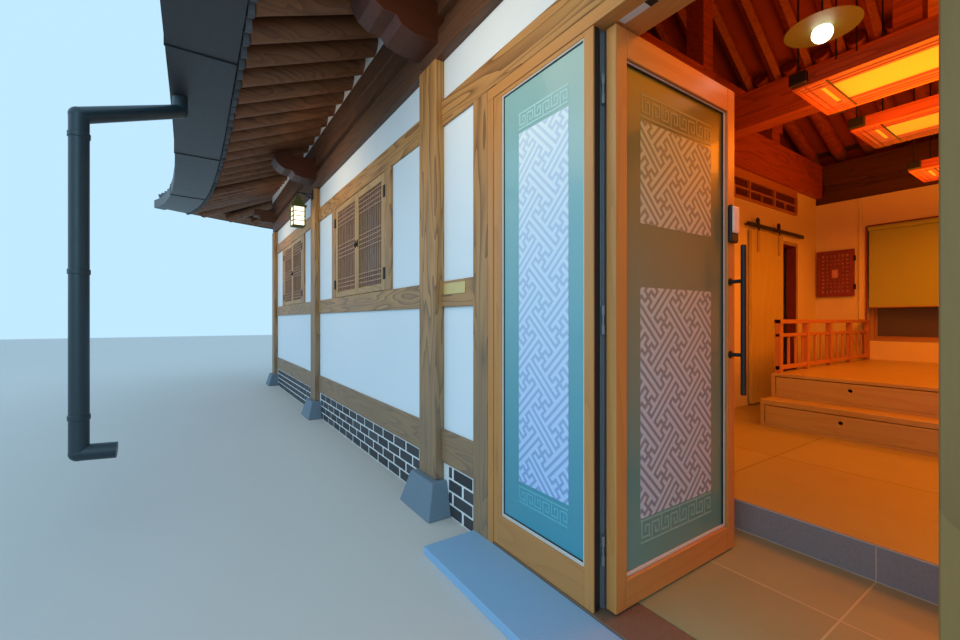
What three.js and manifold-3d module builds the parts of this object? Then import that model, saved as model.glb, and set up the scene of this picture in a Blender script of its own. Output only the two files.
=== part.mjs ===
// A one-storey hanok: a timber-framed house with plastered walls, a brick base and a tiled hip-and-gable roof.
// Millimetres. +X runs along the front towards its entrance end, the front faces -Y, +Z is up.
// The origin is the middle of the floor plan, at ground level.
import * as THREE from "three";
import { mergeVertices } from "three/addons/utils/BufferGeometryUtils.js";
import Module from "manifold-3d";

const wasm = await Module();
wasm.setup();

// Plan
const BAY = 2750;
const COLUMN_LINES_X = [-1.5 * BAY, -0.5 * BAY, 0.5 * BAY, 1.5 * BAY];
const END_X = 1.5 * BAY;
const SIDE_Y = 2700;
const COLUMN = 200;
const PLASTER_SETBACK = 56;
const WALL_FACE_Y = SIDE_Y + COLUMN / 2 - PLASTER_SETBACK;
const WALL_FACE_X = END_X + COLUMN / 2 - PLASTER_SETBACK;
const WALL_THICKNESS = 174;
const INNER_Y = WALL_FACE_Y - WALL_THICKNESS;
const INNER_X = WALL_FACE_X - WALL_THICKNESS;

// Heights
const PLINTH_TOP = 180;
const BRICK_TOP = 276;
const BOTTOM_RAIL = [276, 454];
const MID_RAIL = [1120, 1260];
const LOW_RAIL = [670, 810];
const UPPER_RAIL = [2110, 2250];
const WALL_TOP = 2470;
const FLOOR_Z = 185;
const VESTIBULE_Z = 43;
const SILL_BASE = 20;
const GAP = 0.3;

// Timber rails stand a little proud of the plaster and pass through the columns
const RAIL_PROUD = 16;
const RAIL_DEPTH = 60;
const RAIL_FACE_Y = WALL_FACE_Y + RAIL_PROUD;
const RAIL_FACE_X = WALL_FACE_X + RAIL_PROUD;
const WINDOW_HALF = 630;
const STUD = 120;

// Entrance, from its far post to its near post
const ENTRANCE = { farPost: [1790, 1910], nearPost: [3358, 3478], step: [1800, 3500], stepDepth: 280, stepTop: 35 };
const FRAME_FACE_Y = 2757;
const HEAD = [2061, UPPER_RAIL[0]];
const FIXED = { left: 1952, glassLeft: 1983, glassRight: 2495, right: 2538, backY: 2722, bottomRail: 180, top: 2043 };
const LEAF = { thickness: 42, width: 799, bottom: 52, top: 2055, face: 2594, hingeY: -2704, stile: 59 };
const LEAF_GLASS = { bottom: 152, top: 1955 };
const PIVOT = { x: 2545, y: -2711 };
const HINGE_HEIGHTS = [250, 1050, 1850];
const KNUCKLE = { radius: 6.5, pin: 4, bore: 4.6, height: 34 };

// Roof, drawn with straight eaves and then bent up and out towards its corners
const EAVE_X = 5325;
const EAVE_Y = 3900;
const CORNER_LIFT = 300;
const CORNER_OUT_X = 200;
const CORNER_OUT_Y = 430;
const DECK_EDGE_Z = 2645.5;
const DECK_SLOPE = 0.42;
const UPPER_DECK_SLOPE = 0.72;
const MID_PURLIN_Y = 1350;
const MID_PURLIN_X = EAVE_X - (EAVE_Y - MID_PURLIN_Y);
const TILE_EDGE = 130;
const GABLE_X = 3300;
const GABLE_WALL = 180;
const RAFTER_RADIUS = 70;
const RAFTER_TIP = 256;
const RAFTER_SPACING = 270;
const RAFTER_CLEAR = 4;
const RAFTER_SLACK = 16;

const material = (color, roughness, metalness = 0, opacity = 1) =>
  new THREE.MeshStandardMaterial({ color, roughness, metalness, opacity, transparent: opacity < 1 });
const timber = material(0xa9733c, 0.6);
const darkTimber = material(0x5e3620, 0.65);
const redTimber = material(0x7a2a14, 0.6);
const pine = material(0xd79a5b, 0.5);
const plaster = material(0xe8e6df, 0.85);
const brick = material(0x3b3a3d, 0.8);
const granite = material(0x9aa3ac, 0.75);
const floorTile = material(0xb98a55, 0.5);
const roofTile = material(0x3d4147, 0.7);
const glass = material(0x9fc8c4, 0.1, 0, 0.45);
const darkMetal = material(0x24262a, 0.5, 0.6);
const greyMetal = material(0x6b7076, 0.4, 0.8);
const lampGlass = material(0xf2e2b0, 0.4);

// Boolean work: three.js geometry in, three.js geometry out
function solid(geometry) {
  const bare = geometry.clone();
  bare.deleteAttribute("normal");
  bare.deleteAttribute("uv");
  const merged = mergeVertices(bare, 1e-3);
  return new wasm.Manifold(new wasm.Mesh({
    numProp: 3,
    vertProperties: new Float32Array(merged.attributes.position.array),
    triVerts: new Uint32Array(merged.index.array),
  }));
}

function toGeometry(body) {
  const mesh = body.getMesh();
  const geometry = new THREE.BufferGeometry();
  geometry.setAttribute("position", new THREE.BufferAttribute(new Float32Array(mesh.vertProperties), 3));
  geometry.setIndex(new THREE.BufferAttribute(new Uint32Array(mesh.triVerts), 1));
  return geometry;
}

const join = (...bodies) => bodies.flat().reduce((sum, body) => sum.add(body));
const cut = (body, ...tools) => tools.flat().reduce((rest, tool) => rest.subtract(tool), body);

// Box from its limits along each axis
function box(x0, x1, y0, y1, z0, z1, segments = [1, 1, 1]) {
  const geometry = new THREE.BoxGeometry(x1 - x0, y1 - y0, z1 - z0, ...segments);
  geometry.translate((x0 + x1) / 2, (y0 + y1) / 2, (z0 + z1) / 2);
  return geometry;
}
const block = (...limits) => solid(box(...limits));

// Round bar along X, Y or Z, from its centre
function bar(axis, radius, length, x, y, z, sides = 12) {
  const geometry = new THREE.CylinderGeometry(radius, radius, length, sides);
  if (axis === "x") geometry.rotateZ(Math.PI / 2);
  if (axis === "z") geometry.rotateX(Math.PI / 2);
  geometry.translate(x, y, z);
  return solid(geometry);
}

const house = new THREE.Group();
function addNode(name, body, look) {
  const mesh = new THREE.Mesh(body.isBufferGeometry ? body : toGeometry(body), look);
  mesh.name = name;
  house.add(mesh);
  return mesh;
}

// A point given on the front or an end, mirrored to the back or the other end by its sign
const sideBlock = (side, x0, x1, yOut, yIn, z0, z1) =>
  side < 0 ? block(x0, x1, -yOut, -yIn, z0, z1) : block(x0, x1, yIn, yOut, z0, z1);
const endBlock = (end, xIn, xOut, y0, y1, z0, z1) =>
  end < 0 ? block(-xOut, -xIn, y0, y1, z0, z1) : block(xIn, xOut, y0, y1, z0, z1);

// Bodies that other pieces are cut by are made first: columns, rails, windows
const columnPlaces = [];
COLUMN_LINES_X.forEach((x, i) => columnPlaces.push({ name: `column_front_${i + 1}`, x, y: -SIDE_Y }));
COLUMN_LINES_X.forEach((x, i) => columnPlaces.push({ name: `column_back_${i + 1}`, x, y: SIDE_Y }));
columnPlaces.push({ name: "column_far_middle", x: -END_X, y: 0 });
columnPlaces.push({ name: "column_near_middle", x: END_X, y: 0 });
const half = COLUMN / 2;
const columnBlocks = columnPlaces.map(({ x, y }) =>
  block(x - half, x + half, y - half, y + half, PLINTH_TOP, WALL_TOP));

const RAIL_END_X = END_X - 5;
const RAIL_END_Y = SIDE_Y - 10;

function sideRail(side, x0, x1, [z0, z1]) {
  return sideBlock(side, x0, x1, RAIL_FACE_Y, RAIL_FACE_Y - RAIL_DEPTH, z0, z1);
}
function endRail(end, y0, y1, [z0, z1]) {
  return endBlock(end, RAIL_FACE_X - RAIL_DEPTH, RAIL_FACE_X, y0, y1, z0, z1);
}
function sideStuds(side, centre, halfWidth, z0, z1) {
  return [-1, 1].map((hand) => {
    const near = centre + hand * halfWidth;
    const far = near + hand * STUD;
    return sideRail(side, Math.min(near, far), Math.max(near, far), [z0, z1]);
  });
}
function endStuds(end, centre, z0, z1) {
  return [-1, 1].map((hand) => {
    const near = centre + hand * WINDOW_HALF;
    const far = near + hand * STUD;
    return endRail(end, Math.min(near, far), Math.max(near, far), [z0, z1]);
  });
}

const WINDOW_ZONE = [MID_RAIL[1], UPPER_RAIL[0]];
const HALL_WINDOW = { centre: BAY, half: 850, z: [LOW_RAIL[1], UPPER_RAIL[0]] };
const END_WINDOW_Y = SIDE_Y / 2;
const farPost = ENTRANCE.farPost;
const nearPost = ENTRANCE.nearPost;

const frontRails = join(
  sideRail(-1, -RAIL_END_X, RAIL_END_X, UPPER_RAIL),
  sideRail(-1, -RAIL_END_X, farPost[0] + 1, MID_RAIL),
  sideRail(-1, -RAIL_END_X, farPost[0] + 1, BOTTOM_RAIL),
  sideRail(-1, nearPost[1] - 1, RAIL_END_X, MID_RAIL),
  sideRail(-1, nearPost[1] - 1, RAIL_END_X, BOTTOM_RAIL),
  sideRail(-1, ...farPost, [SILL_BASE, UPPER_RAIL[1]]),
  sideRail(-1, ...nearPost, [SILL_BASE, UPPER_RAIL[1]]),
  [-BAY, 0].flatMap((x) => sideStuds(-1, x, WINDOW_HALF, MID_RAIL[0], UPPER_RAIL[1])),
);
const backRails = join(
  sideRail(1, -RAIL_END_X, RAIL_END_X, UPPER_RAIL),
  sideRail(1, -RAIL_END_X, RAIL_END_X, BOTTOM_RAIL),
  sideRail(1, -RAIL_END_X, BAY / 2, MID_RAIL),
  sideRail(1, BAY / 2, RAIL_END_X, LOW_RAIL),
  [-BAY, 0].flatMap((x) => sideStuds(1, x, WINDOW_HALF, MID_RAIL[0], UPPER_RAIL[1])),
  sideStuds(1, HALL_WINDOW.centre, HALL_WINDOW.half, LOW_RAIL[0], UPPER_RAIL[1]),
  [-BAY, 0].map((x) => sideRail(1, x - STUD / 2, x + STUD / 2, [BOTTOM_RAIL[0], MID_RAIL[1]])),
  sideRail(1, BAY - STUD / 2, BAY + STUD / 2, [BOTTOM_RAIL[0], LOW_RAIL[1]]),
);
const endRails = (end) => join(
  endRail(end, -RAIL_END_Y, RAIL_END_Y, UPPER_RAIL),
  endRail(end, -RAIL_END_Y, RAIL_END_Y, MID_RAIL),
  endRail(end, -RAIL_END_Y, RAIL_END_Y, BOTTOM_RAIL),
  endStuds(end, END_WINDOW_Y, MID_RAIL[0], UPPER_RAIL[1]),
  endRail(end, END_WINDOW_Y - STUD / 2, END_WINDOW_Y + STUD / 2, [BOTTOM_RAIL[0], MID_RAIL[1]]),
);
const farRails = endRails(-1);
const nearRails = endRails(1);
const allRails = [frontRails, backRails, farRails, nearRails];

// Base: a brick ring with a tapered granite stone under each column, low under the entrance
const BRICK_FACE_Y = WALL_FACE_Y + 6;
const BRICK_FACE_X = WALL_FACE_X + 6;
const PLINTH = { bottom: 370, top: 270 };
function plinthStone(x, y) {
  const geometry = new THREE.CylinderGeometry(PLINTH.top / Math.SQRT2, PLINTH.bottom / Math.SQRT2, PLINTH_TOP, 4);
  geometry.rotateY(Math.PI / 4);
  geometry.rotateX(Math.PI / 2);
  geometry.translate(x, y, PLINTH_TOP / 2);
  return solid(geometry);
}
const brickRing = cut(
  block(-BRICK_FACE_X, BRICK_FACE_X, -BRICK_FACE_Y, BRICK_FACE_Y, 0, BRICK_TOP),
  block(-INNER_X, INNER_X, -INNER_Y, INNER_Y, -1, BRICK_TOP + 1),
  block(farPost[0], nearPost[1], -BRICK_FACE_Y - 1, -INNER_Y + 1, SILL_BASE, BRICK_TOP + 1),
);
const roomInside = block(-INNER_X, INNER_X, -INNER_Y, INNER_Y, -1, BRICK_TOP + 1);
const stones = columnPlaces.map(({ x, y }) => cut(plinthStone(x, y), roomInside));
addNode("masonry_base", cut(join(brickRing, stones), columnBlocks), brick);

// Floor: raised over the house, lowered in the vestibule behind the entrance
const VESTIBULE = { x0: 1460, depthY: -1710 };
addNode("floor_slab", cut(
  block(-INNER_X, INNER_X, -INNER_Y, INNER_Y, 0, FLOOR_Z),
  block(VESTIBULE.x0, INNER_X + 1, -INNER_Y - 1, VESTIBULE.depthY, VESTIBULE_Z, FLOOR_Z + 1),
), floorTile);

columnPlaces.forEach(({ name }, i) => addNode(name, cut(columnBlocks[i], allRails), timber));
addNode("front_rails", frontRails, timber);
addNode("back_rails", backRails, timber);
addNode("far_end_rails", farRails, timber);
addNode("near_end_rails", nearRails, timber);

// Walls: plaster on both faces, grooved for the rails and the columns, cut through for windows
const allCutters = [...allRails, ...columnBlocks];
const windowHole = (side, x, halfWidth, [z0, z1]) =>
  sideBlock(side, x - halfWidth, x + halfWidth, WALL_FACE_Y + 50, INNER_Y - 50, z0, z1);
const endHole = (end, y) =>
  endBlock(end, INNER_X - 50, WALL_FACE_X + 50, y - WINDOW_HALF, y + WINDOW_HALF, ...WINDOW_ZONE);
const wallBlock = (x0, x1, z0, z1) => block(x0, x1, -WALL_FACE_Y, -INNER_Y, z0, z1);
addNode("front_wall", cut(
  join(wallBlock(-WALL_FACE_X, farPost[1], BRICK_TOP, WALL_TOP), wallBlock(...farPost, SILL_BASE, BRICK_TOP + 1)),
  allCutters, [-BAY, 0].map((x) => windowHole(-1, x, WINDOW_HALF, WINDOW_ZONE)),
), plaster);
addNode("front_wall_near", cut(
  join(wallBlock(nearPost[0], WALL_FACE_X, BRICK_TOP, WALL_TOP), wallBlock(...nearPost, SILL_BASE, BRICK_TOP + 1)),
  allCutters,
), plaster);
addNode("over_door_wall", cut(wallBlock(farPost[1], nearPost[0], UPPER_RAIL[0], WALL_TOP), allCutters), plaster);
addNode("back_wall", cut(
  block(-WALL_FACE_X, WALL_FACE_X, INNER_Y, WALL_FACE_Y, BRICK_TOP, WALL_TOP), allCutters,
  [-BAY, 0].map((x) => windowHole(1, x, WINDOW_HALF, WINDOW_ZONE)),
  windowHole(1, HALL_WINDOW.centre, HALL_WINDOW.half, HALL_WINDOW.z),
), plaster);
[["far_end_wall", -1], ["near_end_wall", 1]].forEach(([name, end]) => addNode(name, cut(
  endBlock(end, INNER_X, WALL_FACE_X, -INNER_Y, INNER_Y, BRICK_TOP, WALL_TOP), allCutters, endHole(end, END_WINDOW_Y),
), plaster));

// Windows: a frame with a pair of sashes, each with its pane; the fine lattice is a surface finish
const SASH = { frame: 45, stile: 62, thickness: 45, pane: 12, setback: 8 };
function windowBody(width, height) {
  const inner = width / 2 - SASH.frame;
  const t = SASH.thickness / 2;
  const frame = cut(block(-width / 2, width / 2, -t - 6, t + 6, 0, height),
    block(-inner, inner, -t - 7, t + 7, SASH.frame, height - SASH.frame));
  const sashes = [-1, 1].map((hand) => {
    const [x0, x1] = hand < 0 ? [-inner - 1, 0] : [0, inner + 1];
    const sash = cut(block(x0, x1, -t, t, SASH.frame - 1, height - SASH.frame + 1),
      block(x0 + SASH.stile, x1 - SASH.stile, -t - 1, t + 1, SASH.frame + SASH.stile, height - SASH.frame - SASH.stile));
    return join(sash, block(x0 + 5, x1 - 5, -SASH.pane / 2, SASH.pane / 2, SASH.frame, height - SASH.frame));
  });
  return toGeometry(join(frame, sashes));
}
function addWindow(name, x, y, turn, halfWidth, [z0, z1]) {
  const mesh = addNode(name, windowBody(2 * halfWidth, z1 - z0), redTimber);
  mesh.rotation.z = turn;
  mesh.position.set(x, y, z0);
}
const WINDOW_Y = WALL_FACE_Y - SASH.setback - SASH.thickness / 2 - 6;
const WINDOW_X = WALL_FACE_X - SASH.setback - SASH.thickness / 2 - 6;
addWindow("front_window_1", -BAY, -WINDOW_Y, 0, WINDOW_HALF, WINDOW_ZONE);
addWindow("front_window_2", 0, -WINDOW_Y, 0, WINDOW_HALF, WINDOW_ZONE);
addWindow("back_window_1", -BAY, WINDOW_Y, 0, WINDOW_HALF, WINDOW_ZONE);
addWindow("back_window_2", 0, WINDOW_Y, 0, WINDOW_HALF, WINDOW_ZONE);
addWindow("hall_window", HALL_WINDOW.centre, WINDOW_Y, 0, HALL_WINDOW.half, HALL_WINDOW.z);
addWindow("far_end_window", -WINDOW_X, END_WINDOW_Y, Math.PI / 2, WINDOW_HALF - GAP, WINDOW_ZONE);
addWindow("near_end_window", WINDOW_X, END_WINDOW_Y, Math.PI / 2, WINDOW_HALF - GAP, WINDOW_ZONE);

// Entrance frame: lining posts, head and sill
const frameBlock = (x0, x1, z0, z1) => block(x0, x1, -FRAME_FACE_Y, -INNER_Y, z0, z1);
const doorFrame = join(
  frameBlock(farPost[1], FIXED.left, SILL_BASE, HEAD[1]),
  frameBlock(farPost[1], nearPost[0], ...HEAD),
  frameBlock(farPost[1], nearPost[0], SILL_BASE, VESTIBULE_Z),
);
addNode("door_frame", doorFrame, pine);
addNode("entrance_step", cut(
  block(...ENTRANCE.step, -BRICK_FACE_Y - ENTRANCE.stepDepth, -BRICK_FACE_Y, 0, ENTRANCE.stepTop),
  frontRails, doorFrame,
), granite);

// Fixed leaf beside the doorway: two stiles, a deep bottom rail and a thin top rail round one pane
const fixedBlock = (x0, x1, z0, z1) => block(x0, x1, -FRAME_FACE_Y, -FIXED.backY, z0, z1);
addNode("fixed_leaf", cut(
  fixedBlock(FIXED.left, FIXED.right, VESTIBULE_Z, HEAD[0]),
  block(FIXED.glassLeft, FIXED.glassRight, -FRAME_FACE_Y - 1, -FIXED.backY + 1, FIXED.bottomRail, FIXED.top),
), pine);
const FIXED_GLASS_Y = -2745;
const GLASS_THICKNESS = 8;
addNode("fixed_glass", block(FIXED.glassLeft, FIXED.glassRight, FIXED_GLASS_Y, FIXED_GLASS_Y + GLASS_THICKNESS,
  FIXED.bottomRail, FIXED.top), glass);

// Hinge profile behind the fixed leaf, with the pins that the swinging leaf turns on
const PROFILE = { x0: 2495, x1: 2539, front: -2703, back: -2665, root: 2520 };
const framePins = HINGE_HEIGHTS.flatMap((z) => [
  bar("z", KNUCKLE.radius, KNUCKLE.height, PIVOT.x, PIVOT.y, z - KNUCKLE.height),
  bar("z", KNUCKLE.radius, KNUCKLE.height, PIVOT.x, PIVOT.y, z + KNUCKLE.height),
  bar("z", KNUCKLE.pin, 2 * KNUCKLE.height, PIVOT.x, PIVOT.y, z),
  ...[-1, 1].map((hand) => block(PROFILE.x1 - 4, PIVOT.x, PIVOT.y - 1, PROFILE.front + 3,
    z + hand * KNUCKLE.height - KNUCKLE.height / 2, z + hand * KNUCKLE.height + KNUCKLE.height / 2)),
]);
addNode("hinge_profile", join(
  block(PROFILE.x0, PROFILE.x1, PROFILE.front, PROFILE.back, VESTIBULE_Z, HEAD[0]),
  block(PROFILE.x0, PROFILE.root, -FIXED.backY, PROFILE.front + 1, VESTIBULE_Z, HEAD[0]),
  framePins,
), greyMetal);

// Swinging leaf, stored open as in use: it runs inwards from its hinge, its outer face towards +X
const leafEnd = LEAF.hingeY + LEAF.width;
const leafBack = LEAF.face - LEAF.thickness;
const LEAF_PANE_X = LEAF.face - 20;
const leafKnuckles = HINGE_HEIGHTS.flatMap((z) => [
  bar("z", KNUCKLE.radius, KNUCKLE.height - 1, PIVOT.x, PIVOT.y, z),
  block(PIVOT.x, leafBack + 4, PIVOT.y + 2, LEAF.hingeY + 3, z - KNUCKLE.height / 2 + 0.5, z + KNUCKLE.height / 2 - 0.5),
]);
const knuckleBores = HINGE_HEIGHTS.map((z) => bar("z", KNUCKLE.bore, KNUCKLE.height + 2, PIVOT.x, PIVOT.y, z));
addNode("door_leaf", cut(
  join(block(leafBack, LEAF.face, LEAF.hingeY, leafEnd, LEAF.bottom, LEAF.top), leafKnuckles),
  knuckleBores,
  block(leafBack - 1, LEAF.face + 1, LEAF.hingeY + LEAF.stile, leafEnd - LEAF.stile, LEAF_GLASS.bottom, LEAF_GLASS.top),
), pine);
addNode("door_glass", block(LEAF_PANE_X - GLASS_THICKNESS, LEAF_PANE_X, LEAF.hingeY + LEAF.stile, leafEnd - LEAF.stile,
  LEAF_GLASS.bottom, LEAF_GLASS.top), glass);

// Pull bar on two posts, and the lock above it, both on the outer face near the free edge
const HANDLE = { y: leafEnd - 42, bottom: 730, top: 1370, posts: [900, 1216], reach: 56, radius: 11 };
addNode("door_handle", join(
  bar("z", HANDLE.radius, HANDLE.top - HANDLE.bottom, LEAF.face + HANDLE.reach, HANDLE.y,
    (HANDLE.top + HANDLE.bottom) / 2),
  HANDLE.posts.map((z) => bar("x", 8, HANDLE.reach, LEAF.face + HANDLE.reach / 2, HANDLE.y, z)),
), darkMetal);
const LOCK = { y0: leafEnd - 66, y1: leafEnd - 4, z0: 1385, z1: 1548, depth: 26 };
addNode("door_lock", block(LEAF.face, LEAF.face + LOCK.depth, LOCK.y0, LOCK.y1, LOCK.z0, LOCK.z1), darkMetal);

// Partition on the column line beside the entrance bay, with its doorway
const PARTITION = { x0: 1320, x1: 1420, top: 2550, doorway: [1530, 1990], doorTop: 1910 };
addNode("partition_wall", cut(
  block(PARTITION.x0, PARTITION.x1, -INNER_Y, INNER_Y, FLOOR_Z, PARTITION.top),
  block(PARTITION.x0 - 1, PARTITION.x1 + 1, ...PARTITION.doorway, FLOOR_Z - 1, PARTITION.doorTop),
), plaster);

// Sliding door on two hangers that roll on a flat rail
const RAIL = { x0: 1458, x1: 1466, y0: 720, y1: 2080, z0: 2000, z1: 2040 };
const SLIDER = { x0: 1430, x1: 1465, y0: 810, y1: 1530, z0: 200, z1: 1970, wheel: 30 };
addNode("sliding_door_rail", join(
  block(RAIL.x0, RAIL.x1, RAIL.y0, RAIL.y1, RAIL.z0, RAIL.z1),
  [760, 1400, 2040].map((y) => bar("x", 10, RAIL.x0 + 1 - PARTITION.x1, (RAIL.x0 + 1 + PARTITION.x1) / 2, y,
    (RAIL.z0 + RAIL.z1) / 2)),
), darkMetal);
const hangers = [SLIDER.y0 + 120, SLIDER.y1 - 120].flatMap((y) => {
  const axle = RAIL.z1 + GAP + SLIDER.wheel;
  return [
    bar("x", SLIDER.wheel, 15, RAIL.x1, y, axle, 16),
    bar("x", 8, 16, RAIL.x1 + 8, y, axle),
    block(RAIL.x1 + 6, RAIL.x1 + 12, y - 20, y + 20, SLIDER.z1 - 220, axle + 15),
    block(SLIDER.x1 - 1, RAIL.x1 + 7, y - 20, y + 20, SLIDER.z1 - 220, SLIDER.z1 - 60),
  ];
});
addNode("sliding_door", join(
  block(SLIDER.x0, SLIDER.x1, SLIDER.y0, SLIDER.y1, SLIDER.z0, SLIDER.z1), hangers), pine);

// Platform in two steps, each row with a pair of drawers on runners
const PLATFORM = { x0: 1885, x1: INNER_X, lowFront: 0, highFront: 200, mid: 400, top: 600 };
const DRAWER = { xs: [[1915, 2910], [2940, 3935]], depth: 640, height: 150, clear: 6, board: 18 };
const drawerRows = [
  { row: "lower", front: PLATFORM.lowFront, base: FLOOR_Z },
  { row: "upper", front: PLATFORM.highFront, base: PLATFORM.mid },
];
const drawerHole = ({ front, base }, [x0, x1]) =>
  block(x0, x1, front - 1, front + DRAWER.depth, base + 25, base + 25 + DRAWER.height);
addNode("platform_base", cut(
  block(PLATFORM.x0, PLATFORM.x1, PLATFORM.lowFront, INNER_Y, FLOOR_Z, PLATFORM.mid),
  DRAWER.xs.map((xs) => drawerHole(drawerRows[0], xs)),
), pine);
addNode("platform_top", cut(
  block(PLATFORM.x0, PLATFORM.x1, PLATFORM.highFront, INNER_Y, PLATFORM.mid, PLATFORM.top),
  DRAWER.xs.map((xs) => drawerHole(drawerRows[1], xs)),
), pine);
function drawerBody({ front, base }, [x0, x1]) {
  const [left, right] = [x0 + DRAWER.clear, x1 - DRAWER.clear];
  const bottom = base + 25 + GAP;
  const top = base + 25 + DRAWER.height - DRAWER.clear;
  const back = front + DRAWER.depth - 20;
  return cut(
    block(left, right, front - 2, back, bottom, top),
    block(left + DRAWER.board, right - DRAWER.board, front + DRAWER.board, back - DRAWER.board,
      bottom + DRAWER.board, top + 1),
    bar("y", 14, 3 * DRAWER.board, (left + right) / 2, front, (bottom + top) / 2 + 20),
  );
}
drawerRows.forEach((row) => DRAWER.xs.forEach((xs, i) =>
  addNode(`drawer_${row.row}_${i + 1}`, drawerBody(row, xs), pine)));

// Railing along the platform's far edge
const RAILING = { x: 1912, y0: 250, y1: INNER_Y, top: 1055, post: 45, rail: 32, bays: 4 };
function railing() {
  const z0 = PLATFORM.top;
  const span = RAILING.y1 - RAILING.y0;
  const strip = (y0, y1, low, high, width) =>
    block(RAILING.x - width / 2, RAILING.x + width / 2, y0, y1, low, high);
  const parts = [
    strip(RAILING.y0, RAILING.y1, RAILING.top - 35, RAILING.top, RAILING.post + 8),
    strip(RAILING.y0, RAILING.y1, RAILING.top - 150, RAILING.top - 122, RAILING.rail),
    strip(RAILING.y0, RAILING.y1, z0, z0 + 60, RAILING.rail),
  ];
  for (let i = 0; i <= RAILING.bays; i += 1) {
    const y = RAILING.y0 + (span - RAILING.post) * i / RAILING.bays;
    parts.push(strip(y, y + RAILING.post, z0, RAILING.top - 1, RAILING.post));
  }
  const slats = 4 * RAILING.bays;
  for (let i = 0; i < slats; i += 1) {
    const y = RAILING.y0 + span * (i + 0.5) / slats;
    parts.push(strip(y - 9, y + 9, z0 + 1, RAILING.top - 1, 16));
  }
  return join(parts);
}
addNode("railing", railing(), pine);

// Crossbeams over the two inner column lines, with posts, an upper beam and a king post
const BEAM = { half: 110, bottom: PARTITION.top, endTop: 2770, top: 2950, reach: 3200 };
const RAFTER_DROP = 2 * RAFTER_RADIUS * Math.sqrt(1 + DECK_SLOPE ** 2) + 1;
const rafterUnderside = (d) => DECK_EDGE_Z + DECK_SLOPE * d - RAFTER_DROP - RAFTER_CLEAR;
const MID_PURLIN = { half: 90, top: rafterUnderside(EAVE_Y - MID_PURLIN_Y - 90) - 0.5, depth: 200 };
const UPPER_BEAM = { top: MID_PURLIN.top - MID_PURLIN.depth, depth: 220, reach: 1520 };
const deckPeak = DECK_EDGE_Z + DECK_SLOPE * (EAVE_Y - MID_PURLIN_Y) + UPPER_DECK_SLOPE * MID_PURLIN_Y;
const RIDGE_PURLIN = { half: 85, top: deckPeak - 195, depth: 190 };
const END_BEAM = { z0: 2640, z1: 2930, half: 90, outer: END_X + 400, outerTop: 2810 };
const WALL_PLATE_TOP = rafterUnderside(EAVE_Y - SIDE_Y - half) - 0.5;

// Carved end of a crossbeam: its underside sweeps up in two scallops to a blunt nose
function beamEnds(x) {
  const face = SIDE_Y - half - 1;
  const nose = BEAM.reach;
  const shape = new THREE.Shape();
  shape.moveTo(face, BEAM.bottom);
  shape.lineTo(SIDE_Y + half + 20, BEAM.bottom);
  shape.quadraticCurveTo(nose - 190, BEAM.bottom - 10, nose - 170, BEAM.bottom + 60);
  shape.quadraticCurveTo(nose - 60, BEAM.bottom + 40, nose, BEAM.endTop - 60);
  shape.lineTo(nose - 20, BEAM.endTop);
  shape.lineTo(face, BEAM.endTop);
  shape.closePath();
  const points = shape.extractPoints(3).shape;
  return [-1, 1].map((side) => {
    const outline = points.map((point) => [side * Math.round(point.x), Math.round(point.y)]);
    return solid(extrudeAlong("x", side < 0 ? outline.reverse() : outline, BEAM.half, 1).translate(x, 0, 0));
  });
}

function crossbeam(x) {
  const across = (y0, y1, z0, z1, halfWidth) => block(x - halfWidth, x + halfWidth, y0, y1, z0, z1);
  const upperBottom = UPPER_BEAM.top - UPPER_BEAM.depth;
  return join(
    across(-SIDE_Y + half, SIDE_Y - half, BEAM.bottom, BEAM.top, BEAM.half),
    beamEnds(x),
    [-1, 1].map((side) => across(side * MID_PURLIN_Y - 90, side * MID_PURLIN_Y + 90, BEAM.top - 1, upperBottom + 1, 90)),
    across(-UPPER_BEAM.reach, UPPER_BEAM.reach, upperBottom, UPPER_BEAM.top, 85),
    across(-80, 80, UPPER_BEAM.top - 1, RIDGE_PURLIN.top - RIDGE_PURLIN.depth, 80),
  );
}
const crossbeams = [COLUMN_LINES_X[1], COLUMN_LINES_X[2]].map(crossbeam);
addNode("crossbeam_far", crossbeams[0], redTimber);
addNode("crossbeam_near", crossbeams[1], redTimber);

// Upper frame: the ring of middle purlins, on posts over the two beams that run in from the end columns
const ringBox = (halfX, halfY, width, z0, z1) => cut(
  block(-halfX - width, halfX + width, -halfY - width, halfY + width, z0, z1),
  block(-halfX + width, halfX - width, -halfY + width, halfY - width, z0 - 1, z1 + 1),
);
const purlinRing = ringBox(MID_PURLIN_X, MID_PURLIN_Y, MID_PURLIN.half, MID_PURLIN.top - MID_PURLIN.depth, MID_PURLIN.top);
const endBeams = [-1, 1].flatMap((end) => [
  endBlock(end, COLUMN_LINES_X[2] + BEAM.half, END_X, -END_BEAM.half, END_BEAM.half, END_BEAM.z0, END_BEAM.z1),
  endBlock(end, END_X - 1, END_BEAM.outer, -END_BEAM.half, END_BEAM.half, END_BEAM.z0, END_BEAM.outerTop),
  endBlock(end, MID_PURLIN_X - 70, MID_PURLIN_X + 70, -70, 70, END_BEAM.z1 - 1, MID_PURLIN.top - 10),
]);
const upperFrame = join(purlinRing, endBeams);
addNode("upper_roof_frame", upperFrame, redTimber);

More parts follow.
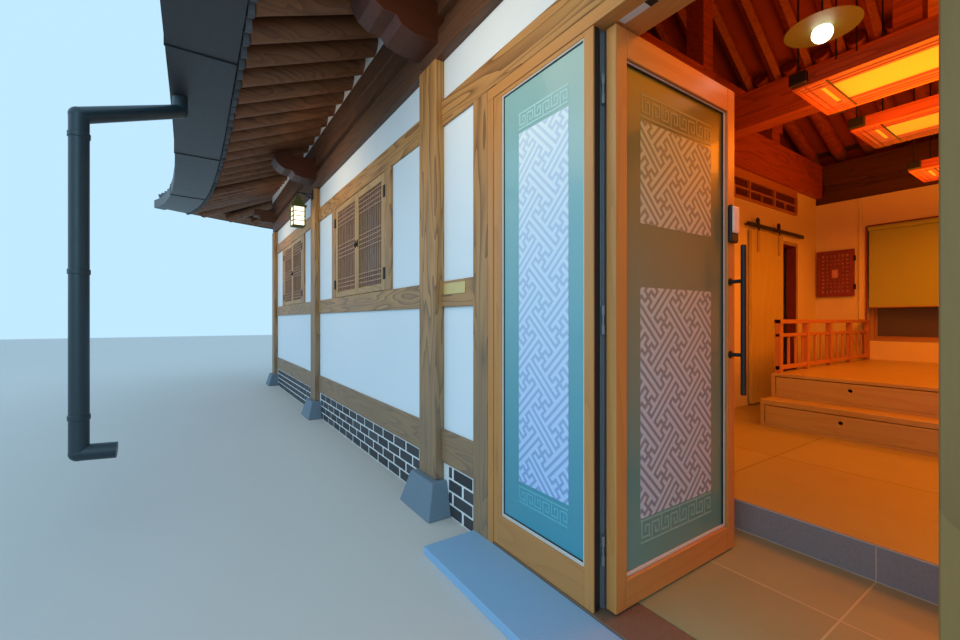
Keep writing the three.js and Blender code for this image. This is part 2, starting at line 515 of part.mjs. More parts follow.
// Wall plate: a flat tie over the columns, a narrow filler and the eave purlin, crossed at the corners
const plateLevel = (halfWidth, z0, z1, reach) => join(
  [-1, 1].map((side) => sideBlock(side, -END_X - reach, END_X + reach, SIDE_Y + halfWidth, SIDE_Y - halfWidth, z0, z1)),
  [-1, 1].map((end) => endBlock(end, END_X - halfWidth, END_X + halfWidth, -SIDE_Y - reach, SIDE_Y + reach, z0, z1)),
);
const wallPlate = cut(
  join(
    plateLevel(90, WALL_TOP, 2621, 90),
    plateLevel(50, 2620, 2701, 300),
    plateLevel(half - 10, 2700, 2800, 380),
    plateLevel(half, 2799, WALL_PLATE_TOP, half),
  ),
  crossbeams, endBeams,
);
addNode("wall_plate", wallPlate, darkTimber);

// Roof surface heights over the straight plan, d being the distance in from the eave
const deckZ = (d) => d < EAVE_Y - MID_PURLIN_Y
  ? DECK_EDGE_Z + DECK_SLOPE * d
  : DECK_EDGE_Z + DECK_SLOPE * (EAVE_Y - MID_PURLIN_Y) + UPPER_DECK_SLOPE * (d - EAVE_Y + MID_PURLIN_Y);
const tileZ = (d) => DECK_EDGE_Z + TILE_EDGE + 0.4 * d + 0.05 * d * d / 1000;

// Bends a straight piece of roof to the lifted, flared corners
function bend(geometry, lift = CORNER_LIFT) {
  const position = geometry.attributes.position;
  for (let i = 0; i < position.count; i += 1) {
    const [x, y, z] = [position.getX(i), position.getY(i), position.getZ(i)];
    const alongX = Math.abs(x / EAVE_X) ** 3;
    const alongY = Math.abs(y / EAVE_Y) ** 2;
    position.setXYZ(i,
      x + Math.sign(x) * CORNER_OUT_X * alongX * alongY,
      y + Math.sign(y) * CORNER_OUT_Y * alongX * alongY,
      z + lift * alongX * alongY);
  }
  return geometry;
}

// Extrudes an outline of (across, up) points along X or along Y
function extrudeAlong(axis, points, reach, steps) {
  const shape = new THREE.Shape(points.map(([across, up]) => new THREE.Vector2(across, up)));
  const geometry = new THREE.ExtrudeGeometry(shape, { depth: 2 * reach, steps, bevelEnabled: false });
  const position = geometry.attributes.position;
  for (let i = 0; i < position.count; i += 1) {
    const [across, up, along] = [position.getX(i), position.getY(i), position.getZ(i) - reach];
    if (axis === "x") position.setXYZ(i, along, across, up);
    else position.setXYZ(i, across, -along, up);
  }
  return geometry;
}

// Half an outline from the eave inwards, mirrored to the whole
function roofOutline(edge, heights, base, stops, closeAt) {
  const rise = stops.map((d) => [edge - d, heights(d)]);
  const right = [[edge - stops[0], base], ...rise, ...closeAt];
  const left = right.map(([across, up]) => [-across, up]).reverse();
  return [...right, ...left];
}
const range = (from, to, count) => Array.from({ length: count + 1 }, (_, i) => from + (to - from) * i / count);
const PEAK = 6500;
const BEND_REACH = 900;
const SIDE_STEPS = 22;
const END_STEPS = 18;
function roofSolid(heights, base, overhang, gableX, lift = CORNER_LIFT) {
  const sideStops = [...range(-overhang, EAVE_Y - MID_PURLIN_Y, 4), EAVE_Y - MID_PURLIN_Y / 2, EAVE_Y - 1];
  const endStops = range(-overhang, EAVE_X - gableX, 4);
  const slopes = roofOutline(EAVE_Y, heights, base, sideStops, []);
  const ends = roofOutline(EAVE_X, heights, base, endStops, [[gableX, PEAK]]);
  return solid(bend(extrudeAlong("x", slopes, EAVE_X + BEND_REACH, SIDE_STEPS), lift))
    .intersect(solid(bend(extrudeAlong("y", ends, EAVE_Y + BEND_REACH, END_STEPS), lift)));
}
const roofOuter = roofSolid(tileZ, 2300, 0, GABLE_X);
const roofInner = roofSolid(deckZ, 2000, 700, GABLE_X - GABLE_WALL);
addNode("roof", cut(roofOuter, roofInner), roofTile);

// Rafters: straight ones over the sides and ends, fans at the corners, all under one eave batten
function rafter(from, to, radius, pieces = 2) {
  const start = new THREE.Vector3(...from);
  const end = new THREE.Vector3(...to);
  const geometry = new THREE.CylinderGeometry(radius, radius, start.distanceTo(end), 6, pieces);
  const turn = new THREE.Quaternion().setFromUnitVectors(new THREE.Vector3(0, 1, 0),
    end.clone().sub(start).normalize());
  geometry.applyQuaternion(turn);
  geometry.translate(...start.add(end).multiplyScalar(0.5).toArray());
  return solid(bend(geometry, CORNER_LIFT - RAFTER_SLACK));
}
const rafterZ = (d) => DECK_EDGE_Z + DECK_SLOPE * d - RAFTER_DROP / 2 - RAFTER_CLEAR;
const sidePoint = (side, x, y) => [x, side * y, rafterZ(EAVE_Y - y)];
const endPoint = (end, x, y) => [end * x, y, rafterZ(EAVE_X - x)];
const TIP_Y = EAVE_Y - RAFTER_TIP;
const TIP_X = EAVE_X - RAFTER_TIP;
const FAN_START = 0.56;
const FAN = 6;
const toward = (from, to) => from + (to - from) * FAN_START;
function lowerRafters() {
  const rafters = [];
  const hands = [-1, 1];
  for (let x = -9 * RAFTER_SPACING; x <= 9 * RAFTER_SPACING; x += RAFTER_SPACING) {
    const pieces = Math.abs(x) < BAY / 2 ? 1 : 2;
    hands.forEach((side) => rafters.push(rafter(sidePoint(side, x, MID_PURLIN_Y - 100), sidePoint(side, x, TIP_Y),
      RAFTER_RADIUS, pieces)));
  }
  for (let y = -4 * RAFTER_SPACING; y <= 4 * RAFTER_SPACING; y += RAFTER_SPACING) {
    hands.forEach((end) => rafters.push(rafter(endPoint(end, MID_PURLIN_X - 100, y), endPoint(end, TIP_X, y),
      RAFTER_RADIUS)));
  }
  const cornerX = MID_PURLIN_X;
  const cornerY = MID_PURLIN_Y;
  hands.forEach((end) => hands.forEach((side) => {
    for (const tip of range(cornerX + 240, TIP_X - 160, FAN)) {
      rafters.push(rafter(
        sidePoint(side, end * toward(cornerX, tip), toward(cornerY, TIP_Y)), sidePoint(side, end * tip, TIP_Y),
        RAFTER_RADIUS));
    }
    for (const tip of range(cornerY + 40, TIP_Y - 180, FAN)) {
      rafters.push(rafter(
        endPoint(end, toward(cornerX, TIP_X), side * toward(cornerY, tip)), endPoint(end, TIP_X, side * tip),
        RAFTER_RADIUS));
    }
  }));
  return rafters;
}
const BATTEN = { out: 140, in: 330, depth: 45, drop: 0.4, lift: CORNER_LIFT - 30 };
function eaveRing({ out, in: inner, depth, drop, lift }) {
  const top = roofSolid((d) => deckZ(d) - drop, 2300, -out, GABLE_X, lift);
  const underside = roofSolid((d) => deckZ(d) - drop - depth, 2000, 700, GABLE_X, lift);
  const slab = (reach) => [[-reach, 1500], [reach, 1500], [reach, PEAK + 500], [-reach, PEAK + 500]];
  const core = solid(bend(extrudeAlong("y", slab(EAVE_X - inner), EAVE_Y + BEND_REACH, END_STEPS)))
    .intersect(solid(bend(extrudeAlong("x", slab(EAVE_Y - inner), EAVE_X + BEND_REACH, SIDE_STEPS))));
  return cut(top, underside, core);
}
const HIP = { half: 90, depth: 230, tip: 60, drop: 62 };
const hipRafters = hipBars([MID_PURLIN_X - 60, MID_PURLIN_Y - 60], HIP.tip, HIP.half, HIP.depth,
  (d) => deckZ(d) - HIP.depth / 2 - HIP.drop, 3, CORNER_LIFT - RAFTER_SLACK);
addNode("rafters", join(lowerRafters(), eaveRing(BATTEN), cut(join(hipRafters), wallPlate, upperFrame)), redTimber);

// Upper rafters in pairs over the ridge purlin
function upperRafters() {
  const radius = 60;
  const drop = radius * Math.sqrt(1 + UPPER_DECK_SLOPE ** 2) + RAFTER_CLEAR;
  const point = (x, side, y) => [x, side * y, deckZ(EAVE_Y - y) - drop];
  const pairs = [];
  for (let x = -9.5 * RAFTER_SPACING; x <= 9.5 * RAFTER_SPACING; x += RAFTER_SPACING) {
    [-1, 1].forEach((side) => pairs.push(rafter(point(x, side, MID_PURLIN_Y - 1), point(x, side, 20), radius, 1)));
  }
  const purlin = block(-GABLE_X + GABLE_WALL + 20, GABLE_X - GABLE_WALL - 20, -RIDGE_PURLIN.half, RIDGE_PURLIN.half,
    RIDGE_PURLIN.top - RIDGE_PURLIN.depth, RIDGE_PURLIN.top);
  return join(purlin, pairs);
}
addNode("rafters_upper", upperRafters(), redTimber);

// Ridges: the main one, four down the gable verges and four down the hips, all bedded on the tiles
const RIDGE = { half: 125, height: 300, over: 60, endLift: 110, bed: 110 };
const VERGE = { half: 105, height: 190, inset: 130 };
const HIP_RIDGE = { half: 105, height: 150, bed: 70, tip: 110 };
function mainRidge() {
  const reach = GABLE_X + RIDGE.over;
  const peak = tileZ(EAVE_Y);
  const geometry = box(-reach, reach, -RIDGE.half, RIDGE.half, peak - RIDGE.bed, peak + RIDGE.height, [12, 1, 1]);
  const position = geometry.attributes.position;
  for (let i = 0; i < position.count; i += 1) {
    const lift = RIDGE.endLift * Math.abs(position.getX(i) / reach) ** 3;
    if (position.getZ(i) > peak) position.setZ(i, position.getZ(i) + lift);
  }
  return solid(geometry);
}
const HIP_START_Y = EAVE_Y - (EAVE_X - GABLE_X);
function vergeRidges() {
  const stops = range(0, HIP_START_Y, 5);
  return [-1, 1].flatMap((end) => [-1, 1].map((side) => {
    const top = stops.map((y) => [side * y, tileZ(EAVE_Y - y) + VERGE.height]);
    const bed = stops.map((y) => [side * y, tileZ(EAVE_Y - y) - HIP_RIDGE.bed]).reverse();
    const geometry = extrudeAlong("x", side < 0 ? [...top, ...bed] : [...bed, ...top], VERGE.half, 1);
    geometry.translate(end * (GABLE_X - VERGE.inset), 0, 0);
    return solid(bend(geometry));
  }));
}
// A bar along each hip, from a point inside the roof to the eave corner, following a height over the plan
function hipBars(from, tip, halfWidth, depth, heightAt, segments, lift) {
  return [-1, 1].flatMap((end) => [-1, 1].map((side) => {
    const start = new THREE.Vector2(end * from[0], side * from[1]);
    const stop = new THREE.Vector2(end * (EAVE_X - tip), side * (EAVE_Y - tip));
    const geometry = new THREE.BoxGeometry(start.distanceTo(stop), 2 * halfWidth, depth, segments, 1, 1);
    geometry.rotateZ(Math.atan2(stop.y - start.y, stop.x - start.x));
    geometry.translate((start.x + stop.x) / 2, (start.y + stop.y) / 2, 0);
    const position = geometry.attributes.position;
    for (let i = 0; i < position.count; i += 1) {
      const d = Math.min(EAVE_X - Math.abs(position.getX(i)), EAVE_Y - Math.abs(position.getY(i)));
      position.setZ(i, position.getZ(i) + heightAt(d));
    }
    return solid(bend(geometry, lift));
  }));
}
const hipRidges = hipBars([GABLE_X - 120, HIP_START_Y - 120], HIP_RIDGE.tip, HIP_RIDGE.half,
  HIP_RIDGE.height + HIP_RIDGE.bed, (d) => tileZ(d) + (HIP_RIDGE.height - HIP_RIDGE.bed) / 2, 7, CORNER_LIFT);
const ridgeBed = roofOuter.scale([1 + GAP / GABLE_X, 1, 1]).translate([0, 0, GAP]);
addNode("roof_ridges", cut(join(mainRidge(), vergeRidges(), hipRidges), ridgeBed), roofTile);

// Box gutters along the front and back eaves, with closed ends and a sheet that runs in to the rafter tips
const GUTTER = { width: 120, depth: 125, sheet: 8, base: 2600, end: EAVE_X - 130, inner: TIP_Y + 20, sheetEnd: 4950 };
function gutter(side) {
  const { width, depth, sheet, base } = GUTTER;
  const section = (reach, y0, y1, z0, z1) => {
    const outline = [[side * y0, z0], [side * y1, z0], [side * y1, z1], [side * y0, z1]];
    const long = extrudeAlong("x", side < 0 ? outline.reverse() : outline, EAVE_X + BEND_REACH, SIDE_STEPS);
    return solid(bend(long)).intersect(block(-reach, reach, -2 * EAVE_Y, 2 * EAVE_Y, 1000, 5000));
  };
  const inner = EAVE_Y + GAP;
  const outer = EAVE_Y + width;
  return join(
    cut(section(GUTTER.end, inner, outer, base, base + depth),
      section(GUTTER.end - sheet, inner + sheet, outer - sheet, base + sheet, base + depth + 400)),
    section(GUTTER.sheetEnd, GUTTER.inner, inner + 1, base, base + sheet),
  );
}
addNode("gutter_front", gutter(-1), darkMetal);
addNode("gutter_back", gutter(1), darkMetal);

// Downpipe: from the front gutter out to a free stretch, down it, and out at its foot
const PIPE_RADIUS = 45;
const PIPE_POINTS = [
  [-100, -EAVE_Y - 62, GUTTER.base], [-100, -EAVE_Y - 62, 2500], [350, -4411, 2175], [350, -4411, 320],
  [350, -4250, 310],
];
function downpipe() {
  const points = PIPE_POINTS.map((point) => new THREE.Vector3(...point));
  const parts = points.slice(1).map((end, i) => {
    const start = points[i];
    const geometry = new THREE.CylinderGeometry(PIPE_RADIUS, PIPE_RADIUS, start.distanceTo(end), 12);
    geometry.applyQuaternion(new THREE.Quaternion().setFromUnitVectors(new THREE.Vector3(0, 1, 0),
      end.clone().sub(start).normalize()));
    geometry.translate(...start.clone().add(end).multiplyScalar(0.5).toArray());
    return solid(geometry);
  });
  const elbows = points.slice(1, -1).map((point) =>
    solid(new THREE.SphereGeometry(PIPE_RADIUS + 1.5, 12, 8).translate(...point.toArray())));
  return join(parts, elbows);
}
addNode("downpipe", downpipe(), darkMetal);

// Lantern hung from an arm on the column between the two windows
const LANTERN = { x: COLUMN_LINES_X[1], y: -SIDE_Y - half - 150, size: 150, bottom: 2050, top: 2360, arm: 2420 };
const lanternBox = (halfWidth, z0, z1) =>
  block(LANTERN.x - halfWidth, LANTERN.x + halfWidth, LANTERN.y - halfWidth, LANTERN.y + halfWidth, z0, z1);
addNode("wall_lantern", join(
  block(LANTERN.x - 30, LANTERN.x + 30, -SIDE_Y - half - 10, -SIDE_Y - half, LANTERN.arm - 60, LANTERN.arm + 40),
  bar("y", 8, 150, LANTERN.x, -SIDE_Y - half - 80, LANTERN.arm),
  bar("z", 6, LANTERN.arm - LANTERN.top + 10, LANTERN.x, LANTERN.y, (LANTERN.arm + LANTERN.top) / 2),
  lanternBox(LANTERN.size / 2 - 8, LANTERN.bottom, LANTERN.top - 5),
  lanternBox(LANTERN.size / 2 + 6, LANTERN.top - 30, LANTERN.top),
  lanternBox(LANTERN.size / 2, LANTERN.bottom + 4, LANTERN.bottom + 22),
), lampGlass);

house.updateMatrixWorld(true);

export default house;
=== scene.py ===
"""Looks of a one-storey hanok: timber, plaster, bricks, lattice windows, a glazed entrance and a tiled roof.

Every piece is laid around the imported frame, in metres. +X runs along the front towards the entrance end, the
front faces -Y and +Z is up.
"""

import math
import random
from contextlib import contextmanager

import bpy
import numpy as np
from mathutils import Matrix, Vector


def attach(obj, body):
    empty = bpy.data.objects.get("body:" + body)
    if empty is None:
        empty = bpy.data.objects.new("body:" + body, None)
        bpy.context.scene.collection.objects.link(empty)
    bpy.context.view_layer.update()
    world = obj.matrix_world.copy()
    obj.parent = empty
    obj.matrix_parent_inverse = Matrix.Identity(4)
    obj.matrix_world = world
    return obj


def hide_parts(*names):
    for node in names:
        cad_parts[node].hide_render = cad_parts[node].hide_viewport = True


bl_info = {
    "name": "Hanok house",
    "version": (1, 0, 0),
    "blender": (4, 5, 0),
    "location": "3D View > Sidebar > Hanok",
    "description": "Dresses the framed hanok with its timber, plaster, tiles, lattices, glass and lamps",
    "category": "Object",
}

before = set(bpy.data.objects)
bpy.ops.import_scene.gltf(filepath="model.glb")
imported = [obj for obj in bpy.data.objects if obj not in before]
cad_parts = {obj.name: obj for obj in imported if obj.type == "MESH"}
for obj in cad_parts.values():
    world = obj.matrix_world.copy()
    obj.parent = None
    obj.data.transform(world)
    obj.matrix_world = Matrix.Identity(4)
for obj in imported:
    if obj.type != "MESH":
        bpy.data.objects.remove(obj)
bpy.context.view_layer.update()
HOUSE = "house"
LEAF = "entrance_leaf"
chance = random.Random(11)

# Driving sizes of the house
BAY = 2.75
COLUMN_X = [-1.5 * BAY, -0.5 * BAY, 0.5 * BAY, 1.5 * BAY]
END_X = 1.5 * BAY
SIDE_Y = 2.7
PLINTH_TOP = 0.18
WALL_TOP = 2.47
BRICK_TOP = 0.276
BOTTOM_RAIL = (0.276, 0.454)
LOW_RAIL = (0.67, 0.81)
MID_RAIL = (1.12, 1.26)
UPPER_RAIL = (2.11, 2.25)
RAIL_FACE = 2.76
RAIL_DEPTH = 0.06
WALL_FACE = 2.744
END_SHIFT = END_X - SIDE_Y
WINDOW_HALF = 0.63
HALL_WINDOW_HALF = 0.85
STUD = 0.12
FIT = 0.0006
UPRIGHT_LIFT = 0.0001
FAR_POST = (1.79, 1.91)
NEAR_POST = (3.358, 3.478)
SILL_BASE = 0.02
INNER_Y = 2.57
INNER_X = 3.995
VESTIBULE_Z = 0.043
VESTIBULE_Y = -1.71
VESTIBULE_X = 1.46

# Roof surfaces, drawn over straight eaves and bent towards the corners
EAVE_X = 5.325
EAVE_Y = 3.9
GABLE_X = 3.3
MID_PURLIN_Y = 1.35
MID_PURLIN_X = EAVE_X - (EAVE_Y - MID_PURLIN_Y)
CORNER_LIFT = 0.3
CORNER_OUT = (0.2, 0.43)
DECK_EDGE_Z = 2.6455
DECK_SLOPE = 0.42
UPPER_DECK_SLOPE = 0.72
TILE_EDGE = 0.13
TILE_SLOPE = 0.4
TILE_CURVE = 0.05


def tile_z(d):
    """Height of the tiled surface at a distance in from the straight eave."""
    return DECK_EDGE_Z + TILE_EDGE + TILE_SLOPE * d + TILE_CURVE * d * d


def deck_z(d):
    """Height of the deck under the tiles at a distance in from the straight eave."""
    knee = EAVE_Y - MID_PURLIN_Y
    return DECK_EDGE_Z + DECK_SLOPE * min(d, knee) + UPPER_DECK_SLOPE * max(0, d - knee)


def ceiling_z(x, y):
    """Height of the deck over a point of the plan."""
    side = EAVE_Y - abs(y)
    return deck_z(side if abs(x) < GABLE_X else min(side, EAVE_X - abs(x)))


def bend(points, lift=CORNER_LIFT):
    """Lifts and flares an array of points towards the four roof corners."""
    toward = np.abs(points[:, 0] / EAVE_X) ** 3 * np.abs(points[:, 1] / EAVE_Y) ** 2
    bent = points.copy()
    bent[:, 0] += np.sign(points[:, 0]) * CORNER_OUT[0] * toward
    bent[:, 1] += np.sign(points[:, 1]) * CORNER_OUT[1] * toward
    bent[:, 2] += lift * toward
    return bent


# Shader maths
class Signal:
    """A shader socket on which Python arithmetic adds Math nodes."""

    def __init__(self, tree, socket):
        self.tree = tree
        self.socket = socket

    def math(self, operation, *values):
        node = self.tree.nodes.new("ShaderNodeMath")
        node.operation = operation
        for entry, value in zip(node.inputs, values):
            plug(self.tree, entry, value)
        return Signal(self.tree, node.outputs[0])

    def __add__(self, other):
        return self.math("ADD", self, other)

    def __sub__(self, other):
        return self.math("SUBTRACT", self, other)

    def __rsub__(self, other):
        return self.math("SUBTRACT", other, self)

    def __mul__(self, other):
        return self.math("MULTIPLY", self, other)

    def __pow__(self, other):
        return self.math("POWER", self, other)

    def __lt__(self, other):
        return self.math("LESS_THAN", self, other)

    def __gt__(self, other):
        return self.math("GREATER_THAN", self, other)

    __radd__ = __add__
    __rmul__ = __mul__

    def fraction(self):
        return self.math("FRACT", self)

    def clamped(self):
        return self.math("MINIMUM", self.math("MAXIMUM", self, 0.0), 1.0)

    def distance_from(self, value):
        return self.math("ABSOLUTE", self - value)


def plug(tree, entry, value):
    """Links a signal into a socket, or sets the socket to a plain value."""
    if isinstance(value, Signal):
        tree.links.new(value.socket, entry)
    else:
        entry.default_value = value


def rgba(colour):
    return (*colour, 1.0)


class Finish:
    """One material: its nodes are added by name, its surface is one Principled shader."""

    def __init__(self, name, **surface):
        self.material = bpy.data.materials.new(name)
        self.material.use_nodes = True
        self.tree = self.material.node_tree
        self.shader = self.tree.nodes["Principled BSDF"]
        self.put(**surface)

    def put(self, **sockets):
        """Sets shader sockets, named in small letters with underscores."""
        for name, value in sockets.items():
            entry = self.shader.inputs[name.replace("_", " ").title().replace("Ior", "IOR")]
            plug(self.tree, entry, rgba(value) if isinstance(value, tuple) and len(value) == 3 else value)

    def node(self, kind, settings=None, values=None, output=0):
        made = self.tree.nodes.new("ShaderNode" + kind)
        for name, setting in (settings or {}).items():
            setattr(made, name, setting)
        for name, value in (values or {}).items():
            plug(self.tree, made.inputs[name], value)
        return Signal(self.tree, made.outputs[output])

    def board(self):
        """The random number of the board that the point lies on."""
        return self.node("Attribute", {"attribute_name": "board"}, output=2)

    def place(self):
        """The point's object coordinates."""
        return self.node("TexCoord", output=3)

    def here(self):
        """The point's place, shifted by another distance on each board."""
        board = self.board()
        shift = self.node("CombineXYZ", values={0: board * 7.3, 1: board * 3.1, 2: board * 5.7})
        return self.node("VectorMath", {"operation": "ADD"}, {0: self.place(), 1: shift})

    def axis(self, index):
        return self.node("SeparateXYZ", values={0: self.place()}, output=index)

    def facing(self, index):
        normal = self.node("NewGeometry", output=1)
        return self.node("SeparateXYZ", values={0: normal}, output=index)

    def within(self, x, y):
        """One in the upright block that reaches as far as x and y from the middle, nought outside it."""
        return (self.axis(0).distance_from(0.0) < x) * (self.axis(1).distance_from(0.0) < y)

    def indoors(self):
        """One between the inner wall faces, nought outside them."""
        return self.within(INNER_X + 0.003, INNER_Y + 0.003)

    def inward(self):
        """One on faces that look back at the middle of the house, nought on the others."""
        return (self.facing(0) * self.axis(0) + self.facing(1) * self.axis(1)) < 0

    def climb(self, z_range):
        """Nought at the bottom of a height range, one at its top."""
        low, high = z_range
        return ((self.axis(2) - low) * (1.0 / (high - low))).clamped()

    def stretched(self, place, scale):
        return self.node("Mapping", values={"Vector": place, "Scale": scale})

    def noise(self, place, scale, detail=3.0, distortion=0.0):
        values = {"Vector": place, "Scale": scale, "Detail": detail, "Distortion": distortion}
        return self.node("TexNoise", values=values)

    def cells(self, place, scale):
        return self.node("TexVoronoi", values={"Vector": place, "Scale": scale})

    def mix(self, factor, first, second):
        values = {0: factor, 6: colour_value(first), 7: colour_value(second)}
        return self.node("Mix", {"data_type": "RGBA"}, values, output=2)

    def bumped(self, height, strength, distance):
        """The finished material, with its surface raised by a signal."""
        values = {"Height": height, "Strength": strength, "Distance": distance}
        self.put(normal=self.node("Bump", values=values))
        return self.material


def colour_value(colour):
    return colour if isinstance(colour, Signal) else rgba(colour)


def scaled(colour, factor):
    return tuple(factor * c for c in colour)


GRAIN_SCALES = {"x": (0.09, 1.0, 1.0), "y": (1.0, 0.09, 1.0), "z": (1.0, 1.0, 0.09)}


def wood(name, axis, light, dark, roughness=0.55, coat=0.0, figure=7.0, bands=9.0, depth=0.7, grey=None,
         inside=None):
    """Sawn softwood along one axis: bent growth rings, fine fibre, a knot here and there.

    It turns grey towards the ground, and takes the inside colours between the inner wall faces; the darker
    colours outside them are painted shade under the eaves.
    """
    finish = Finish(name, coat_weight=coat, coat_roughness=0.25)
    place = finish.stretched(finish.here(), GRAIN_SCALES[axis])
    swirl = finish.noise(place, figure, 1.5, 0.35)
    late = (swirl * bands).fraction() ** 2.6
    fibre = finish.noise(place, 140.0, 2.0)
    patch = finish.noise(finish.here(), 1.3, 2.0)
    knot_place = finish.stretched(finish.here(), tuple(0.35 if s < 1 else 1.0 for s in GRAIN_SCALES[axis]))
    knot = (1 - finish.cells(knot_place, 2.2) * 9.0).clamped() ** 2
    ring = (late * depth + fibre * 0.25 - 0.1).clamped()
    colour = finish.mix(ring, light, dark)
    colour = finish.mix((patch * 1.6 - 0.45 + finish.board() * 0.35).clamped() * 0.4, colour, dark)
    # Inside and outside colours are lit and shaded copies of one timber: the darker outside palette is painted
    # shade under the eaves.
    if inside:
        colour = finish.mix(finish.indoors(), colour, finish.mix(ring, *inside))
    colour = finish.mix(knot * 0.85, colour, scaled(dark, 0.35))
    if grey:
        ground_grey = (1.35 - finish.axis(2) * 0.75 + (patch - 0.5) * 0.5).clamped()
        colour = finish.mix(ground_grey * 0.62, colour, grey)
    finish.put(base_color=colour, roughness=(roughness + fibre * 0.16 - 0.08))
    return finish.bumped(fibre * 0.5 - late * 0.6, 0.35, 0.0015)


def wood_set(name, *palette, **options):
    return {axis: wood(f"{name}_{axis}", axis, *palette, **options) for axis in "xyz"}


def plaster_look(name, colour, shade, inside=None, inside_by_facing=False):
    """Trowelled lime, in another colour inside the house: between its walls, or on faces turned inwards."""
    finish = Finish(name, roughness=0.9)
    place = finish.place()
    cloud = finish.noise(place, 0.9, 4.0)
    trowel = finish.noise(finish.stretched(place, (1.0, 1.0, 2.2)), 16.0, 5.0, 0.4)
    speck = finish.noise(place, 160.0, 2.0)
    lime = finish.mix((cloud * 1.5 - 0.45).clamped() * 0.5, colour, shade)
    if inside:
        room_side = finish.inward() if inside_by_facing else finish.indoors()
        lime = finish.mix(room_side, lime, inside)
    finish.put(base_color=lime)
    return finish.bumped(trowel * 0.6 + speck * 0.15, 0.22, 0.004)


def stone_look(name, light, dark, grain=220.0, roughness=0.8):
    finish = Finish(name)
    place = finish.here()
    speck = finish.noise(place, grain, 2.0)
    cloud = finish.noise(place, 3.0, 3.0)
    fleck = (1 - finish.cells(place, grain * 0.55) * 3.2).clamped()
    colour = finish.mix((speck * 1.5 - 0.3).clamped(), light, dark)
    colour = finish.mix(fleck * 0.35, colour, scaled(dark, 0.45))
    finish.put(base_color=finish.mix(cloud * 0.4, colour, dark), roughness=roughness + speck * 0.1)
    return finish.bumped(speck, 0.25, 0.0015)


def brick_look(name, dark, light):
    """Fired brick, each one in a tone of its own."""
    finish = Finish(name)
    place = finish.here()
    cloud = finish.noise(place, 9.0, 4.0)
    speck = finish.noise(place, 110.0, 3.0)
    colour = finish.mix((cloud + finish.board() * 0.7 - 0.4).clamped(), dark, light)
    finish.put(base_color=colour, roughness=0.5 + speck * 0.3)
    return finish.bumped(speck, 0.4, 0.002)


def tile_look(name, light, dark):
    """Fired clay tile: smoky grey with pale bloom, each tile in a tone of its own."""
    finish = Finish(name)
    place = finish.here()
    smoke = finish.noise(place, 2.4, 5.0)
    speck = finish.noise(place, 75.0, 3.0)
    colour = finish.mix((smoke + finish.board() * 0.5 - 0.3).clamped(), dark, light)
    colour = finish.mix((speck * 1.8 - 0.9).clamped() * 0.5, colour, scaled(light, 1.8))
    finish.put(base_color=colour, roughness=0.55 + speck * 0.25)
    return finish.bumped(speck + smoke, 0.2, 0.003)


def bed_look():
    """Roof bed: red-brown boards between the rafters inside, dark ones under the eaves as painted shade in the
    gaps between the rafters, clay grey on top.
    """
    finish = Finish("roof_bed", roughness=0.9)
    place = finish.here()
    cloud = finish.noise(place, 2.0, 4.0)
    speck = finish.noise(place, 60.0, 3.0)
    # Under the eaves the boards are near black: painted shade between the rafters.
    eave = finish.mix(cloud, (0.045, 0.028, 0.02), (0.09, 0.052, 0.032))
    ceiling = finish.mix(cloud, (0.46, 0.10, 0.035), (0.28, 0.05, 0.018))
    clay = finish.mix(cloud, (0.04, 0.044, 0.05), (0.09, 0.095, 0.10))
    colour = finish.mix(finish.within(END_X, SIDE_Y), eave, ceiling)
    colour = finish.mix(finish.facing(2) > 0.05, colour, clay)
    finish.put(base_color=colour)
    return finish.bumped(speck, 0.3, 0.003)


def metal_look(name, colour, roughness, metallic=0.9):
    """Metal or coated metal with dust on it."""
    finish = Finish(name, metallic=metallic)
    place = finish.here()
    dust = finish.noise(place, 30.0, 4.0)
    grain = finish.noise(place, 420.0, 2.0)
    finish.put(base_color=finish.mix(dust * 0.35, colour, tuple(0.6 * c + 0.01 for c in colour)))
    finish.put(roughness=roughness + dust * 0.14)
    return finish.bumped(grain, 0.06, 0.0006)


def glass_look(name, top, bottom, z_range, through):
    """Tinted door glass, its tint deeper towards the floor, with a painted reflection in its change of colour
    from top to bottom.
    """
    finish = Finish(name, transmission_weight=through, ior=1.48, coat_weight=0.3, coat_roughness=0.06)
    cloud = finish.noise(finish.place(), 1.4, 2.0)
    # Painted reflection: the colour runs from the bottom colour up to the top colour.
    tint_and_reflection = finish.mix(finish.climb(z_range) + (cloud - 0.5) * 0.12, bottom, top)
    finish.put(base_color=tint_and_reflection, roughness=0.26 + cloud * 0.08)
    return finish.material


def film_look(name, top, bottom, z_range):
    """Frosted film on the glass, with painted reflected light: its colour runs from the bottom colour up to
    the top colour.
    """
    finish = Finish(name)
    frost = finish.noise(finish.place(), 300.0, 2.0)
    finish.put(base_color=finish.mix(finish.climb(z_range), bottom, top), roughness=0.45 + frost * 0.2)
    return finish.bumped(frost, 0.08, 0.0004)


def glow_look(name, colour, strength, warm=None):
    """Paper, wood or glass lit from behind; on the lamps' wooden bars the glow is painted light."""
    finish = Finish(name, roughness=0.6, emission_strength=strength)
    fibre = finish.noise(finish.place(), 26.0, 5.0, 0.6)
    glow = finish.mix((fibre * 1.5 - 0.4).clamped() * 0.5, colour, warm or colour)
    finish.put(base_color=scaled(colour, 0.3), emission_color=glow)
    return finish.material


